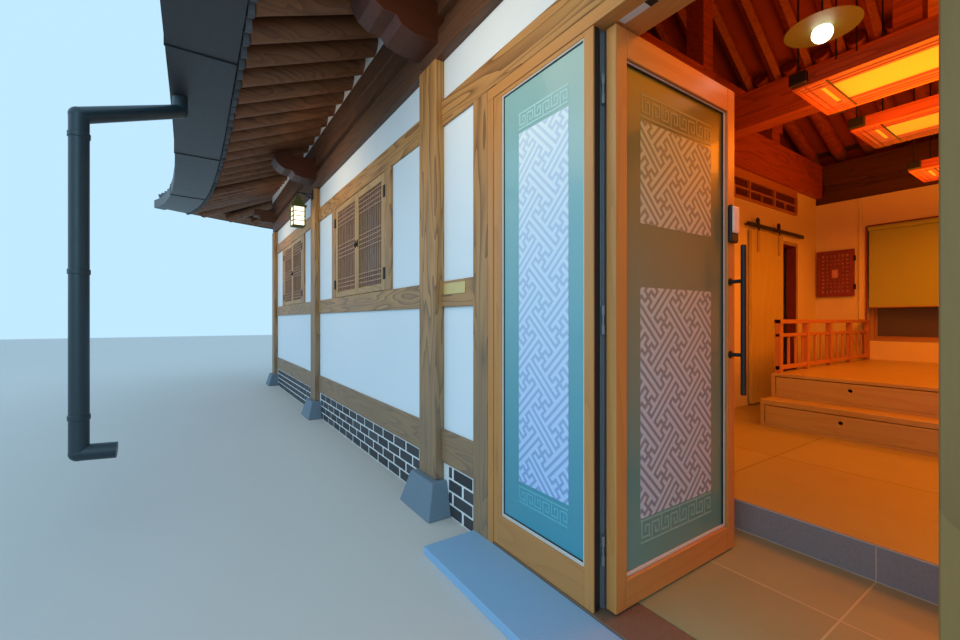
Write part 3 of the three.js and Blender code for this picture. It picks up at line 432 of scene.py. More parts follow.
def floor_tile_look(name, light, dark, joint, size, offset):
    """Square floor tiles with a thin joint between them."""
    finish = Finish(name)
    half_joint = 0.0035
    lines = []
    cell = 0.0
    for index in (0, 1):
        run = (finish.axis(index) - offset[index]) * (1.0 / size)
        lines.append(run.fraction().distance_from(0.5) > 0.5 - half_joint / size)
        cell = run.math("FLOOR", run) * (3.7 + 5.1 * index) + cell
    groove = lines[0].math("MAXIMUM", lines[0], lines[1])
    tone = (cell.math("SINE", cell) * 43.7).fraction()
    cloud = finish.noise(finish.place(), 5.0, 5.0)
    speck = finish.noise(finish.place(), 90.0, 3.0)
    colour = finish.mix((cloud * 0.8 + tone * 0.4 - 0.1).clamped(), light, dark)
    finish.put(base_color=finish.mix(groove, colour, joint), roughness=0.34 + speck * 0.2 + groove * 0.4)
    return finish.bumped(speck * 0.15 - groove, 0.5, 0.002)


def cloth_look(name, colour, shade):
    """Plain weave of the blind."""
    finish = Finish(name, roughness=0.85)
    threads = 620.0
    weft = (finish.axis(2) * threads).fraction().distance_from(0.5)
    warp = (finish.axis(0) * threads).fraction().distance_from(0.5)
    finish.put(base_color=finish.mix((weft + warp) * 0.8, colour, shade))
    return finish.bumped(weft + warp, 0.2, 0.0006)


LOOKS = {}


def make_looks():
    """All the finishes, under the names by which the pieces ask for them."""
    woods = dict(
        post=wood_set("oiled_pine", (0.56, 0.28, 0.085), (0.17, 0.065, 0.015), figure=9.0, bands=11.0,
                      depth=0.95, grey=(0.20, 0.165, 0.125)),
        # The post beside the entrance gets a darker copy of the oiled pine: painted shade.
        painted_shade_near_post=wood_set("shaded_pine", (0.27, 0.155, 0.042), (0.17, 0.085, 0.022), figure=9.0, bands=7.0,
                           depth=0.5),
        # For stained, rafter and beam timber the first palette, used outside the inner wall faces, is the
        # darker one: painted shade under the eaves.
        stained=wood_set("stained_timber", (0.125, 0.052, 0.024), (0.045, 0.018, 0.008), roughness=0.6,
                         inside=((0.26, 0.05, 0.02), (0.11, 0.02, 0.01))),
        rafter=wood_set("rafter_timber", (0.27, 0.10, 0.036), (0.10, 0.03, 0.010), roughness=0.55,
                        inside=((0.40, 0.085, 0.028), (0.17, 0.03, 0.012))),
        beam=wood_set("red_timber", (0.085, 0.018, 0.004), (0.04, 0.008, 0.002), roughness=0.5,
                      inside=((0.44, 0.10, 0.035), (0.19, 0.035, 0.014))),
        sash=wood_set("sash_pine", (0.50, 0.30, 0.12), (0.30, 0.15, 0.05), figure=9.0),
        lattice=wood_set("lattice_wood", (0.50, 0.27, 0.16), (0.28, 0.12, 0.07), figure=20.0),
        door=wood_set("door_pine", (0.56, 0.25, 0.065), (0.42, 0.155, 0.034), roughness=0.45, coat=0.2,
                      figure=8.0, bands=7.0, depth=0.45),
        platform=wood_set("platform_pine", (0.52, 0.43, 0.13), (0.40, 0.27, 0.065), roughness=0.38, coat=0.3,
                          figure=7.0, bands=6.0, depth=0.5),
        panel=wood_set("panel_pine", (0.66, 0.60, 0.15), (0.54, 0.42, 0.09), roughness=0.4, coat=0.2,
                       figure=7.0, bands=5.0, depth=0.4),
        hatch=wood_set("hatch_wood", (0.30, 0.055, 0.03), (0.16, 0.028, 0.015), figure=16.0),
    )
    LOOKS.update({f"{wood}_{axis}": look for wood, axes in woods.items() for axis, look in axes.items()})
    LOOKS.update(
        plaster=plaster_look(
"lime_plaster", (0.76, 0.84, 0.91), (0.69, 0.77, 0.84), (0.86, 0.78, 0.34)),
        infill=plaster_look("rafter_infill", (0.86, 0.86, 0.86), (0.72, 0.72, 0.72), (0.22, 0.03, 0.015),
                            inside_by_facing=True),
        mortar=plaster_look("white_mortar", (0.80, 0.82, 0.84), (0.66, 0.67, 0.68)),
        brick=brick_look("black_brick", (0.022, 0.024, 0.03), (0.062, 0.066, 0.078)),
        granite=stone_look("column_granite", (0.19, 0.26, 0.33), (0.13, 0.19, 0.25)),
        step=stone_look("step_granite", (0.28, 0.49, 0.74), (0.22, 0.40, 0.62), 260.0, 0.6),
        bed=bed_look(),
        tile=tile_look("roof_clay", (0.115, 0.122, 0.132), (0.04, 0.044, 0.05)),
        dark_metal=metal_look("black_powder_coat", (0.018, 0.02, 0.024), 0.42, 0.3),
        gutter=metal_look("gutter_coat", (0.045, 0.042, 0.048), 0.4, 0.2),
        pipe=metal_look("pipe_coat", (0.026, 0.048, 0.062), 0.35, 0.2),
        grey_metal=metal_look("grey_aluminium", (0.26, 0.27, 0.29), 0.3),
        hinge=metal_look("hinge_aluminium", (0.20, 0.205, 0.225), 0.4, 0.3),
        bead=metal_look("glazing_bead", (0.62, 0.60, 0.56), 0.45, 0.0),
        threshold=stone_look("threshold_stone", (0.19, 0.12, 0.08), (0.12, 0.075, 0.05), 140.0, 0.6),
        # Painted shade behind the transom lattice.
        void=plaster_look("painted_shade_board", (0.10, 0.014, 0.007), (0.07, 0.01, 0.005)),
        iron=metal_look("forged_iron", (0.03, 0.028, 0.026), 0.55, 0.8),
        brass=metal_look("aged_brass", (0.075, 0.085, 0.012), 0.45, 0.3),
        plate=metal_look("pale_brass", (0.75, 0.55, 0.22), 0.3, 0.5),
        white_cap=metal_look("white_cap", (0.75, 0.77, 0.80), 0.3, 0.0),
        fixed_glass=glass_look("teal_glass", (0.32, 0.58, 0.58), (0.07, 0.34, 0.46), (0.3, 2.0), 0.15),
        leaf_glass=glass_look("olive_glass", (0.18, 0.155, 0.008), (0.12, 0.31, 0.29), (0.3, 2.0), 0.08),
        fixed_film=film_look("frost_on_fixed", (0.80, 0.90, 0.97), (0.42, 0.60, 0.93), (0.3, 1.9)),
        fixed_line=film_look("line_on_fixed", (0.60, 0.73, 0.88), (0.22, 0.36, 0.66), (0.3, 1.9)),
        fixed_key=film_look("key_on_fixed", (0.44, 0.70, 0.70), (0.12, 0.42, 0.54), (0.3, 1.9)),
        leaf_film=film_look("frost_on_leaf", (0.54, 0.50, 0.20), (0.50, 0.58, 0.68), (0.7, 1.75)),
        leaf_line=film_look("line_on_leaf", (0.30, 0.25, 0.09), (0.24, 0.26, 0.31), (0.7, 1.75)),
        leaf_key=film_look("key_on_leaf", (0.34, 0.30, 0.07), (0.24, 0.45, 0.40), (0.3, 1.9)),
        pane=glass_look("window_pane", (0.13, 0.105, 0.09), (0.10, 0.09, 0.08), (1.2, 2.1), 0.05),
        paper=plaster_look("window_paper", (0.78, 0.42, 0.34), (0.66, 0.34, 0.26)),
        hall_floor=floor_tile_look("hall_floor", (0.39, 0.37, 0.13), (0.32, 0.29, 0.10), (0.25, 0.21, 0.075),
                                   0.9, (1.42, -1.71)),
        vestibule=floor_tile_look("vestibule_tile", (0.30, 0.34, 0.19), (0.24, 0.27, 0.15),
                                  (0.46, 0.46, 0.27), 0.61, (3.02, -2.094)),
        riser=stone_look("riser_stone", (0.27, 0.29, 0.32), (0.20, 0.22, 0.25), 120.0, 0.6),
        riser_joint=plaster_look("riser_joint", (0.50, 0.48, 0.42), (0.42, 0.40, 0.35)),
        lamp=glow_look("lamp_paper", (1.0, 0.42, 0.018), 0.8, (1.0, 0.34, 0.01)),
        # The lamps' wooden bars glow: painted light.
        lamp_wood=glow_look("lit_lamp_wood", (0.75, 0.11, 0.012), 0.55, (0.55, 0.06, 0.008)),
        bulb=glow_look("bulb_glass", (1.0, 0.93, 0.75), 6.0),
        lantern=glow_look("lantern_glass", (1.0, 0.90, 0.62), 2.2, (1.0, 0.8, 0.42)),
        blind=cloth_look("blind_cloth", (0.48, 0.60, 0.12), (0.40, 0.48, 0.09)),
        stage=plaster_look("studio_floor", (0.62, 0.60, 0.58), (0.58, 0.56, 0.54)),
    )


# Modelling helpers
def deselect():
    bpy.ops.object.select_all(action="DESELECT")


@contextmanager
def editing(piece):
    """Edit mode with all of a piece selected, and back."""
    only(piece)
    bpy.ops.object.mode_set(mode="EDIT")
    bpy.ops.mesh.select_all(action="SELECT")
    yield
    bpy.ops.object.mode_set(mode="OBJECT")


def begin(name):
    """An empty mesh, open in edit mode."""
    deselect()
    bpy.ops.mesh.primitive_cube_add(size=1)
    piece = bpy.context.object
    piece.name = name
    piece.data.name = name
    bpy.ops.object.mode_set(mode="EDIT")
    bpy.ops.mesh.delete(type="VERT")
    return piece


def close(piece):
    bpy.ops.object.mode_set(mode="OBJECT")
    return piece


def many(name, add, places, **settings):
    """One mesh with the same primitive at every place."""
    piece = begin(name)
    for place in places:
        add(location=place, **settings)
    return close(piece)


def sliced(name, count):
    """A unit cube that runs along X from the origin, cut into slices."""
    piece = begin(name)
    bpy.ops.mesh.primitive_cube_add(size=1, location=(0.5, 0, 0))
    for i in range(1, count):
        bpy.ops.mesh.select_all(action="SELECT")
        bpy.ops.mesh.bisect(plane_co=(i / count, 0, 0), plane_no=(1, 0, 0))
    return close(piece)


def number_boards(piece, size):
    """Gives every run of vertices, one board long, a random number of its own."""
    count = len(piece.data.vertices)
    tones = [chance.random() for _ in range(count // size + 1)]
    mark = piece.data.attributes.new("board", "FLOAT", "POINT")
    mark.data.foreach_set("value", np.repeat(tones, size)[:count].astype(np.float32))


def only(piece):
    deselect()
    piece.select_set(True)
    bpy.context.view_layer.objects.active = piece


def modify(piece, kind, **settings):
    """Adds a modifier and applies it."""
    only(piece)
    change = piece.modifiers.new(kind.title(), kind)
    for name, setting in settings.items():
        setattr(change, name, setting)
    bpy.ops.object.modifier_apply(modifier=change.name)


def repeat(piece, count, offset):
    """Copies a piece in a row, all in its own mesh."""
    modify(piece, "ARRAY", count=count, use_relative_offset=False, use_constant_offset=True,
           constant_offset_displace=offset)


def ease(piece, width, segments=1):
    """Bevels the sharp edges."""
    modify(piece, "BEVEL", width=width, segments=segments, limit_method="ANGLE", angle_limit=math.radians(40))


def boxes(name, limits, edge=0.003, segments=1):
    """One mesh of boxes, each given by its limits along X, Y and Z, with eased edges."""
    piece = begin(name)
    for (x0, x1), (y0, y1), (z0, z1) in limits:
        centre = ((x0 + x1) / 2, (y0 + y1) / 2, (z0 + z1) / 2)
        bpy.ops.mesh.primitive_cube_add(size=1, location=centre, scale=(x1 - x0, y1 - y0, z1 - z0))
    close(piece)
    number_boards(piece, 8)
    if edge:
        ease(piece, edge, segments)
    return piece


def rods(name, routes, radius, sides=12, edge=0.0):
    """Straight round bars, each from one point to another."""
    piece = begin(name)
    for start, end in routes:
        start, end = Vector(start), Vector(end)
        turn = Vector((0, 0, 1)).rotation_difference(end - start).to_euler()
        bpy.ops.mesh.primitive_cylinder_add(vertices=sides, radius=radius, depth=(end - start).length,
                                            location=(start + end) / 2, rotation=turn)
    close(piece)
    number_boards(piece, 2 * sides)
    if edge:
        ease(piece, edge)
    smooth(piece)
    return piece


def smooth(piece):
    only(piece)
    bpy.ops.object.shade_smooth_by_angle(angle=math.radians(40))


def settle(piece):
    """Moves a piece's place into its mesh."""
    only(piece)
    bpy.ops.object.transform_apply(location=True, rotation=True, scale=True)
    return piece


def points_of(piece):
    points = np.zeros(len(piece.data.vertices) * 3)
    piece.data.vertices.foreach_get("co", points)
    return points.reshape(-1, 3)


def reshape(piece, change):
    """Sends a mesh's points through a function of their array."""
    piece.data.vertices.foreach_set("co", change(points_of(piece)).ravel())
    piece.data.update()
    return piece


def copy_of(piece, name):
    twin = piece.copy()
    twin.data = piece.data.copy()
    twin.name = name
    bpy.context.scene.collection.objects.link(twin)
    return twin


def joined(pieces, name):
    only(pieces[0])
    for piece in pieces[1:]:
        piece.select_set(True)
    if len(pieces) > 1:
        bpy.ops.object.join()
    pieces[0].name = name
    return pieces[0]


def coat(piece, look):
    piece.data.materials.clear()
    piece.data.materials.append(LOOKS[look])


def hand_over(piece, look, replaces=(), body=HOUSE):
    """Gives a finished piece its finish and its body, and hides the nodes that it stands for."""
    coat(piece, look)
    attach(piece, body)
    if replaces:
        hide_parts(*replaces)
    return piece


def lay(name, limits, look, edge=0.003, segments=1, nodes=(), body=HOUSE):
    """Makes a mesh of boxes and hands it over."""
    return hand_over(boxes(name, limits, edge, segments), look, nodes, body)


def lay_rods(name, routes, radius, sides, look, edge=0.0, nodes=(), body=HOUSE):
    """Makes a mesh of round bars and hands it over."""
    return hand_over(rods(name, routes, radius, sides, edge), look, nodes, body)


def keep_node(node, look):
    """A node whose shape is right gets a finish of its own."""
    coat(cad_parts[node], look)


def stand_in(node, name, edge):
    """A clean copy of a node's mesh, with eased edges."""
    piece = copy_of(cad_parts[node], name)
    piece.parent = None
    for key in list(piece.keys()):
        if key.startswith("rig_"):
            del piece[key]
    piece.data.materials.clear()
    with editing(piece):
        bpy.ops.mesh.remove_doubles(threshold=0.00005)
        bpy.ops.mesh.dissolve_limited(angle_limit=math.radians(0.5))
    if edge:
        ease(piece, edge)
    return piece


def renew(node, name, edge, look, body=HOUSE):
    """Puts a clean copy in the place of a node."""
    return hand_over(stand_in(node, name, edge), look, [node], body)


class HANOK_PG_colours(bpy.types.PropertyGroup):
    """Colours of the studio round the house."""

    sky: bpy.props.FloatVectorProperty(
        name="Sky", description="Colour of the soft light all round", subtype="COLOR",
        default=(0.52, 0.79, 1.0))
    sky_strength: bpy.props.FloatProperty(
        name="Sky strength", description="Strength of the light all round", default=1.05, min=0.0)
    lamp: bpy.props.FloatVectorProperty(
        name="Lamp light", description="Colour of the light inside", subtype="COLOR",
        default=(1.0, 0.22, 0.008))
    lamp_power: bpy.props.FloatProperty(
        name="Lamp power", description="Power of each light inside", default=25.0, min=0.0)
    eave_lamp: bpy.props.FloatVectorProperty(
        name="Eave light", description="Colour of the light under the eaves", subtype="COLOR",
        default=(1.0, 0.72, 0.42))
    eave_power: bpy.props.FloatProperty(
        name="Eave power", description="Power of each light under the eaves", default=4.5, min=0.0)


class HANOK_PG_sizes(bpy.types.PropertyGroup):
    """Sizes of what is laid over the frame."""

    brick_length: bpy.props.FloatProperty(
        name="Brick length", description="Length of a brick with its joint", default=0.2, unit="LENGTH")
    brick_course: bpy.props.FloatProperty(
        name="Brick course", default=0.067, unit="LENGTH", description="Height of a course with its joint")
    tile_row: bpy.props.FloatProperty(
        name="Tile row", description="Spacing of the rows of roof tiles", default=0.27, unit="LENGTH")
    tile_step: bpy.props.FloatProperty(
        name="Tile step", description="Length of a tile that shows", default=0.27, unit="LENGTH")
    rafter_radius: bpy.props.FloatProperty(
        name="Rafter radius", description="Radius of the round rafters", default=0.07, unit="LENGTH")
    fret_unit: bpy.props.FloatProperty(
        name="Fret unit", description="Step of the fret on the door glass", default=0.0275, unit="LENGTH")


SIDES = (-1, 1)
CORNERS = [(first, second) for first in SIDES for second in SIDES]


def about(centre, half):
    """The range that reaches as far on both sides of its centre."""
    return (centre - half, centre + half)


def mirrored(sign, near, far):
    """A range between two distances from the middle of the house, on the side that the sign gives."""
    return tuple(sorted((sign * near, sign * far)))


def side_limits(side, x_range, z_range, outer=RAIL_FACE, inner=RAIL_FACE - RAIL_DEPTH):
    return (x_range, mirrored(side, inner, outer), z_range)


def end_limits(end, y_range, z_range, outer=RAIL_FACE + END_SHIFT, inner=RAIL_FACE + END_SHIFT - RAIL_DEPTH):
    return (mirrored(end, inner, outer), y_range, z_range)


def beside(centre, half):
    """The two studs on either side of an opening."""
    return [(centre - half - STUD, centre - half), (centre + half, centre + half + STUD)]


class HANOK_OT_timber(bpy.types.Operator):
    """Columns and rails of the wall frame"""

    bl_idname = "hanok.timber"
    bl_label = "Wall timber"

    def execute(self, context):
        self.columns()
        self.front()
        self.back()
        self.ends()
        return {"FINISHED"}

    def columns(self):
        half = 0.1
        places = {f"column_front_{i + 1}": (x, -SIDE_Y) for i, x in enumerate(COLUMN_X)}
        places.update({f"column_back_{i + 1}": (x, SIDE_Y) for i, x in enumerate(COLUMN_X)})
        places.update({"column_far_middle": (-END_X, 0), "column_near_middle": (END_X, 0)})
        for node, (x, y) in places.items():
            limits = [(about(x, half), about(y, half), (PLINTH_TOP, WALL_TOP))]
            lay(node.replace("column", "post"), limits, "post_z", 0.007, 2, [node])

    def front(self):
        reach = END_X - 0.005
        rails = [side_limits(-1, (-reach, reach), UPPER_RAIL)]
        for x_range in ((-reach, FAR_POST[0]), (NEAR_POST[1], reach)):
            rails += [side_limits(-1, x_range, rail) for rail in (MID_RAIL, BOTTOM_RAIL)]
        lay("front_long_rails", rails, "post_x", nodes=["front_rails"])
        plate_x, plate_z, plate_face = (1.505, 1.72), (1.186, 1.246), 2.764
        lay("bare_plate", [(plate_x, (-plate_face, -RAIL_FACE), plate_z)], "plate", 0.0015)
        doorway = (SILL_BASE, UPPER_RAIL[0] - FIT)
        lay("front_near_post", [side_limits(-1, NEAR_POST, doorway)], "painted_shade_near_post_z")
        posts = [side_limits(-1, FAR_POST, doorway)]
        for centre in (-BAY, 0):
            posts += [side_limits(-1, stud, (MID_RAIL[1] + FIT, UPPER_RAIL[0] - FIT))
                      for stud in beside(centre, WINDOW_HALF)]
        lay("front_studs", posts, "post_z")

    def back(self):
        reach = END_X - 0.005
        rails = [side_limits(1, (-reach, reach), rail) for rail in (UPPER_RAIL, BOTTOM_RAIL)]
        rails += [side_limits(1, (-reach, BAY / 2), MID_RAIL), side_limits(1, (BAY / 2, reach), LOW_RAIL)]
        lay("back_long_rails", rails, "post_x", nodes=["back_rails"])
        studs = []
        for centre, half, rail in ((-BAY, WINDOW_HALF, MID_RAIL), (0, WINDOW_HALF, MID_RAIL),
                                   (BAY, HALL_WINDOW_HALF, LOW_RAIL)):
            above, below = (rail[1] + FIT, UPPER_RAIL[0] - FIT), (BOTTOM_RAIL[1] + FIT, rail[0] - FIT)
            studs += [side_limits(1, stud, above) for stud in beside(centre, half)]
            studs.append(side_limits(1, about(centre, STUD / 2), below))
        lay("back_studs", studs, "post_z")

    def ends(self):
        reach = SIDE_Y - 0.01
        window_y = SIDE_Y / 2
        above, below = (MID_RAIL[1] + FIT, UPPER_RAIL[0] - FIT), (BOTTOM_RAIL[1] + FIT, MID_RAIL[0] - FIT)
        for name, end in (("far", -1), ("near", 1)):
            rails = [end_limits(end, (-reach, reach), rail) for rail in (UPPER_RAIL, MID_RAIL, BOTTOM_RAIL)]
            lay(f"{name}_end_long_rails", rails, "post_y", nodes=[f"{name}_end_rails"])
            studs = [end_limits(end, stud, above) for stud in beside(window_y, WINDOW_HALF)]
            studs.append(end_limits(end, about(window_y, STUD / 2), below))
            lay(f"{name}_end_studs", studs, "post_z")


class HANOK_OT_masonry(bpy.types.Operator):
    """Brick courses with white joints, and the granite stones under the columns"""

    bl_idname = "hanok.masonry"
    bl_label = "Brick base and stones"

    def execute(self, context):
        sizes = context.scene.hanok_sizes
        self.mortar()
        self.bricks(sizes.brick_length, sizes.brick_course)
        self.stones()
        for wall in ("front_wall", "front_wall_near", "over_door_wall", "back_wall", "far_end_wall",
                     "near_end_wall", "partition_wall"):
            keep_node(wall, "plaster")
        renew("entrance_step", "step_stone", 0.004, "step")
        return {"FINISHED"}

    def mortar(self):
        """The body of the base, which shows between the bricks as their joints."""
        face = WALL_FACE + 0.002
        end_face = face + END_SHIFT
        rise = (0.0, BRICK_TOP - 0.001)
        core = [
            ((-end_face, FAR_POST[0]), (-face, -INNER_Y), rise),
            ((NEAR_POST[1], end_face), (-face, -INNER_Y), rise),
            ((-end_face, end_face), (INNER_Y, face), rise),
            ((-end_face, -INNER_X), (-INNER_Y, INNER_Y), rise),
            ((INNER_X, end_face), (-INNER_Y, INNER_Y), rise),
            ((FAR_POST[0], NEAR_POST[1]), (-face, -INNER_Y), (0.0, SILL_BASE)),
        ]
        lay("brick_joints", core, "mortar", 0, nodes=["masonry_base"])

    def bricks(self, length, course):
        """Four courses along each wall, broken by the column stones and the entrance."""
        joint, end_joint, shortest = 0.011, 0.022, 0.02
        proud, seat = WALL_FACE + 0.006, WALL_FACE - 0.05
        stone, beside_posts = 0.16, 0.012
        runs = [(side_limits, side, END_X, COLUMN_X, 0) for side in SIDES]
        runs += [(end_limits, end, SIDE_Y, [-SIDE_Y, 0, SIDE_Y], END_SHIFT) for end in SIDES]
        bricks = []
        for limits_on, sign, reach, columns, shift in runs:
            gaps = [about(place, stone) for place in columns]
            if limits_on is side_limits and sign < 0:
                gaps.append((FAR_POST[0] - beside_posts, NEAR_POST[1] + beside_posts))
            for row in range(4):
                z_range = (row * course + joint / 2, (row + 1) * course - joint / 2)
                start = -reach - (row % 2) * length / 2
                for i in range(int(2 * reach / length) + 2):
                    low = max(-reach, start + i * length + end_joint / 2)
                    high = min(reach, start + (i + 1) * length - end_joint / 2)
                    for cut in spans(low, high, gaps):
                        if cut[1] - cut[0] >= shortest:
                            bricks.append(limits_on(sign, cut, z_range, proud + shift, seat + shift))
        lay("base_bricks", bricks, "brick", 0.0025)

    def stones(self):
        """Square stones that narrow upwards, held back to the inner wall faces."""
        bottom, top = 0.185 * math.sqrt(2), 0.135 * math.sqrt(2)
        middle = PLINTH_TOP / 2
        places = [(x, side * SIDE_Y, middle) for x in COLUMN_X for side in SIDES]
        places += [(end * END_X, 0, middle) for end in SIDES]
        piece = many("column_stones", bpy.ops.mesh.primitive_cone_add, places, vertices=4, radius1=bottom,
                     radius2=top, depth=PLINTH_TOP, rotation=(0, 0, math.pi / 4))
        number_boards(piece, 8)
        reshape(piece, keep_out_of_rooms)
        ease(piece, 0.006, 2)
        hand_over(piece, "granite")


def spans(low, high, gaps):
    """What is left of a stretch once the gaps are taken out of it."""
    left = [(low, high)]
    for start, end in gaps:
        left = [(p, q) for a, b in left for p, q in ((a, min(b, start)), (max(a, end), b)) if q > p]
    return left


def keep_out_of_rooms(points):
    """Pulls the inner corners of the stones back to the inner wall faces."""
    held = points.copy()
    reach, clearance = 0.3, 0.001
    for axis, face in ((0, INNER_X), (1, INNER_Y)):
        distance = np.abs(points[:, axis])
        inside = (distance > face - reach) & (distance < face + clearance)
        held[inside, axis] = np.sign(points[inside, axis]) * (face + clearance)
    return held


class HANOK_OT_windows(bpy.types.Operator):
    """Lattice windows with a pair of sashes each"""

    bl_idname = "hanok.windows"
    bl_label = "Lattice windows"

    stile = 0.066
    rail = 0.052
    bar = 0.008

    def execute(self, context):
        side_y = 2.7075
        end_x = side_y + END_SHIFT
        z_range = (MID_RAIL[1], UPPER_RAIL[0])
        hall_z = (LOW_RAIL[1], UPPER_RAIL[0])
        for node, x, y, turn, half, rise in (
            ("front_window_1", -BAY, -side_y, 0, WINDOW_HALF, z_range),
            ("front_window_2", 0, -side_y, 0, WINDOW_HALF, z_range),
            ("back_window_1", -BAY, side_y, 2, WINDOW_HALF, z_range),
            ("back_window_2", 0, side_y, 2, WINDOW_HALF, z_range),
            ("hall_window", BAY, side_y, 2, HALL_WINDOW_HALF, hall_z),
            ("far_end_window", -end_x, SIDE_Y / 2, 3, WINDOW_HALF - 0.0003, z_range),
            ("near_end_window", end_x, SIDE_Y / 2, 1, WINDOW_HALF - 0.0003, z_range),
        ):
            self.window(node, (x, y), turn, half, rise)
        return {"FINISHED"}

    def window(self, node, place, turn, half, z_range):
        """One window, made facing -Y and turned by quarters to its wall."""
        low, high = z_range
        play, lining, slimmer, rebate = 0.003, 0.045, 0.016, 0.004
        y_lining, y_sash, y_pane = (-0.003, 0.0275), (-0.049, -0.004), (-0.012, -0.006)
        inner = (-half + lining, half - lining)
        upright = [((-half, inner[0]), y_lining, z_range), ((inner[1], half), y_lining, z_range)]
        across = [(inner, y_lining, (low, low + lining)), (inner, y_lining, (high - lining, high))]
        bars, panes, irons = [], [], []
        sash = (low + play, high - play)
        for hand in SIDES:
            x0, x1 = mirrored(hand, play / 2, half - play)
            left, right = x0 + self.stile, x1 - self.stile
            if hand < 0:
                right += slimmer
            else:
                left -= slimmer
            bottom, top = sash[0] + self.rail, sash[1] - self.rail
            upright += [((x0, left), y_sash, sash), ((right, x1), y_sash, sash)]
            across += [((left, right), y_sash, (sash[0], bottom)), ((left, right), y_sash, (top, sash[1]))]
            bars += self.lattice(left, right, bottom, top)
            panes.append(((left - rebate, right + rebate), y_pane, (bottom - rebate, top + rebate)))
            irons += self.irons(hand, half - play, *sash)
        level = "y" if turn % 2 else "x"
        for name, limits, edge, look, nodes in (
            ("stiles", upright, 0.003, "sash_z", [node]),
            ("sash_rails", across, 0.003, f"sash_{level}", []),
            ("lattice", bars, 0.001, "lattice_z", []),
            ("panes", panes, 0, "pane", []),
            ("irons", irons, 0.0015, "iron", []),
        ):
            piece = boxes(f"{node}_{name}", limits, edge)
            reshape(piece, lambda points: turned(points, turn, place))
            hand_over(piece, look, nodes)

    def lattice(self, left, right, bottom, top):
        """Upright bars, crossed by three groups of level bars."""
        spacing, proud = 0.05, 0.002
        front, back = -0.043, -0.033
        count = max(8, round((right - left) / spacing))
        pitch = (right - left) / (count + 1)
        step = (top - bottom) / 20
        levels = [top - step * (i + 0.6) for i in range(4)]
        levels += [bottom + step * (i + 1) for i in range(3)]
        levels += [(top + bottom) / 2 + step * (i - 1.5) for i in range(4)]
        half = self.bar / 2
        bars = [(about(left + pitch * (i + 1), half), (front, back), (bottom, top)) for i in range(count)]
        bars += [((left, right), (front - proud, back - proud), about(z, half)) for z in levels]
        return bars

    def irons(self, hand, edge, low, high):
        """Strap hinges at the outer stile and a ring plate at the meeting stiles."""
        strap_half, plate_half = 0.042, 0.03
        strap_x = mirrored(hand, edge - 0.016, edge + 0.022)
        found = [(strap_x, (-0.0575, -0.0495), about(z, strap_half)) for z in (low + 0.12, high - 0.14)]
        middle = (low + high) / 2
        x0, x1 = mirrored(hand, 0.012, 0.038)
        found.append(((x0, x1), (-0.0525, -0.0495), about(middle, plate_half)))
        found.append(((x0 + 0.007, x1 - 0.007), (-0.062, -0.0526), (middle - 0.022, middle + 0.004)))
        return found


def turned(points, quarters, place):
    """Turns points about Z by quarter turns and moves them."""
    c, s = [(1, 0), (0, 1), (-1, 0), (0, -1)][quarters % 4]
    spun = points.copy()
    spun[:, 0] = points[:, 0] * c - points[:, 1] * s + place[0]
    spun[:, 1] = points[:, 0] * s + points[:, 1] * c + place[1]
    return spun


def fret_field(name, width, height, unit, line):
    """Fret of hooked arms round two sets of centres, turned by 45 degrees and cut to size in the XZ plane."""
    arms = [
        [(0, 0), (0, -1), (-1, -1), (-1, -2), (6, -2), (6, -1), (5, -1), (5, 0)],
        [(0, 0), (1, 0), (1, -1), (2, -1), (2, 6), (1, 6), (1, 5), (0, 5)],
        [(0, 0), (0, 1), (1, 1), (1, 2), (-6, 2), (-6, 1), (-5, 1), (-5, 0)],
        [(0, 0), (-1, 0), (-1, 1), (-2, 1), (-2, -6), (-1, -6), (-1, -5), (0, -5)],
    ]
    pitch = 10 * unit
    piece = begin(name)
    for centre in (0, 5):
        for arm in arms:
            flat_route([((x + centre) * unit, (y + centre) * unit) for x, y in arm], line)
    close(piece)
    count = int(math.hypot(width, height) / pitch) + 3
    for axis in (0, 1):
        offset = [0.0, 0.0, 0.0]
        offset[axis] = pitch
        repeat(piece, count, offset)
    middle = (count // 2) * pitch
    turn = math.sqrt(0.5)

    def stand(p):
        across, up = p[:, 0] - middle, p[:, 1] - middle
        return np.column_stack([(across - up) * turn, -p[:, 2], (across + up) * turn])

    reshape(piece, stand)
    return trimmed(piece, (-width / 2, width / 2), (-height / 2, height / 2))


def flat_route(points, line):
    """Flat strips along a route of level and upright runs, the upright ones a little higher."""
    last = len(points) - 2
    for i, (start, end) in enumerate(zip(points, points[1:])):
        level = start[1] == end[1]
        along = 0 if level else 1
        way = 1 if end[along] > start[along] else -1
        low = start[along] - (way * line / 2 if i else 0)
        high = end[along] + (way * line / 2 if i < last else 0)
        middle = [0.0, 0.0, 0.0 if level else UPRIGHT_LIFT]
        middle[along] = (low + high) / 2
        middle[1 - along] = start[1 - along]
        size = [line, line, 1]
        size[along] = abs(high - low)
        bpy.ops.mesh.primitive_plane_add(size=1, location=middle)
        bpy.ops.transform.resize(value=size, center_override=middle)


def trimmed(piece, x_range, z_range):
    """Cuts a flat mesh in the XZ plane to a rectangle."""
    for place, normal in (((x_range[0], 0, 0), (-1, 0, 0)), ((x_range[1], 0, 0), (1, 0, 0)),
                          ((0, 0, z_range[0]), (0, 0, -1)), ((0, 0, z_range[1]), (0, 0, 1))):
        with editing(piece):
            bpy.ops.mesh.bisect(plane_co=place, plane_no=normal, clear_outer=True)
    return piece


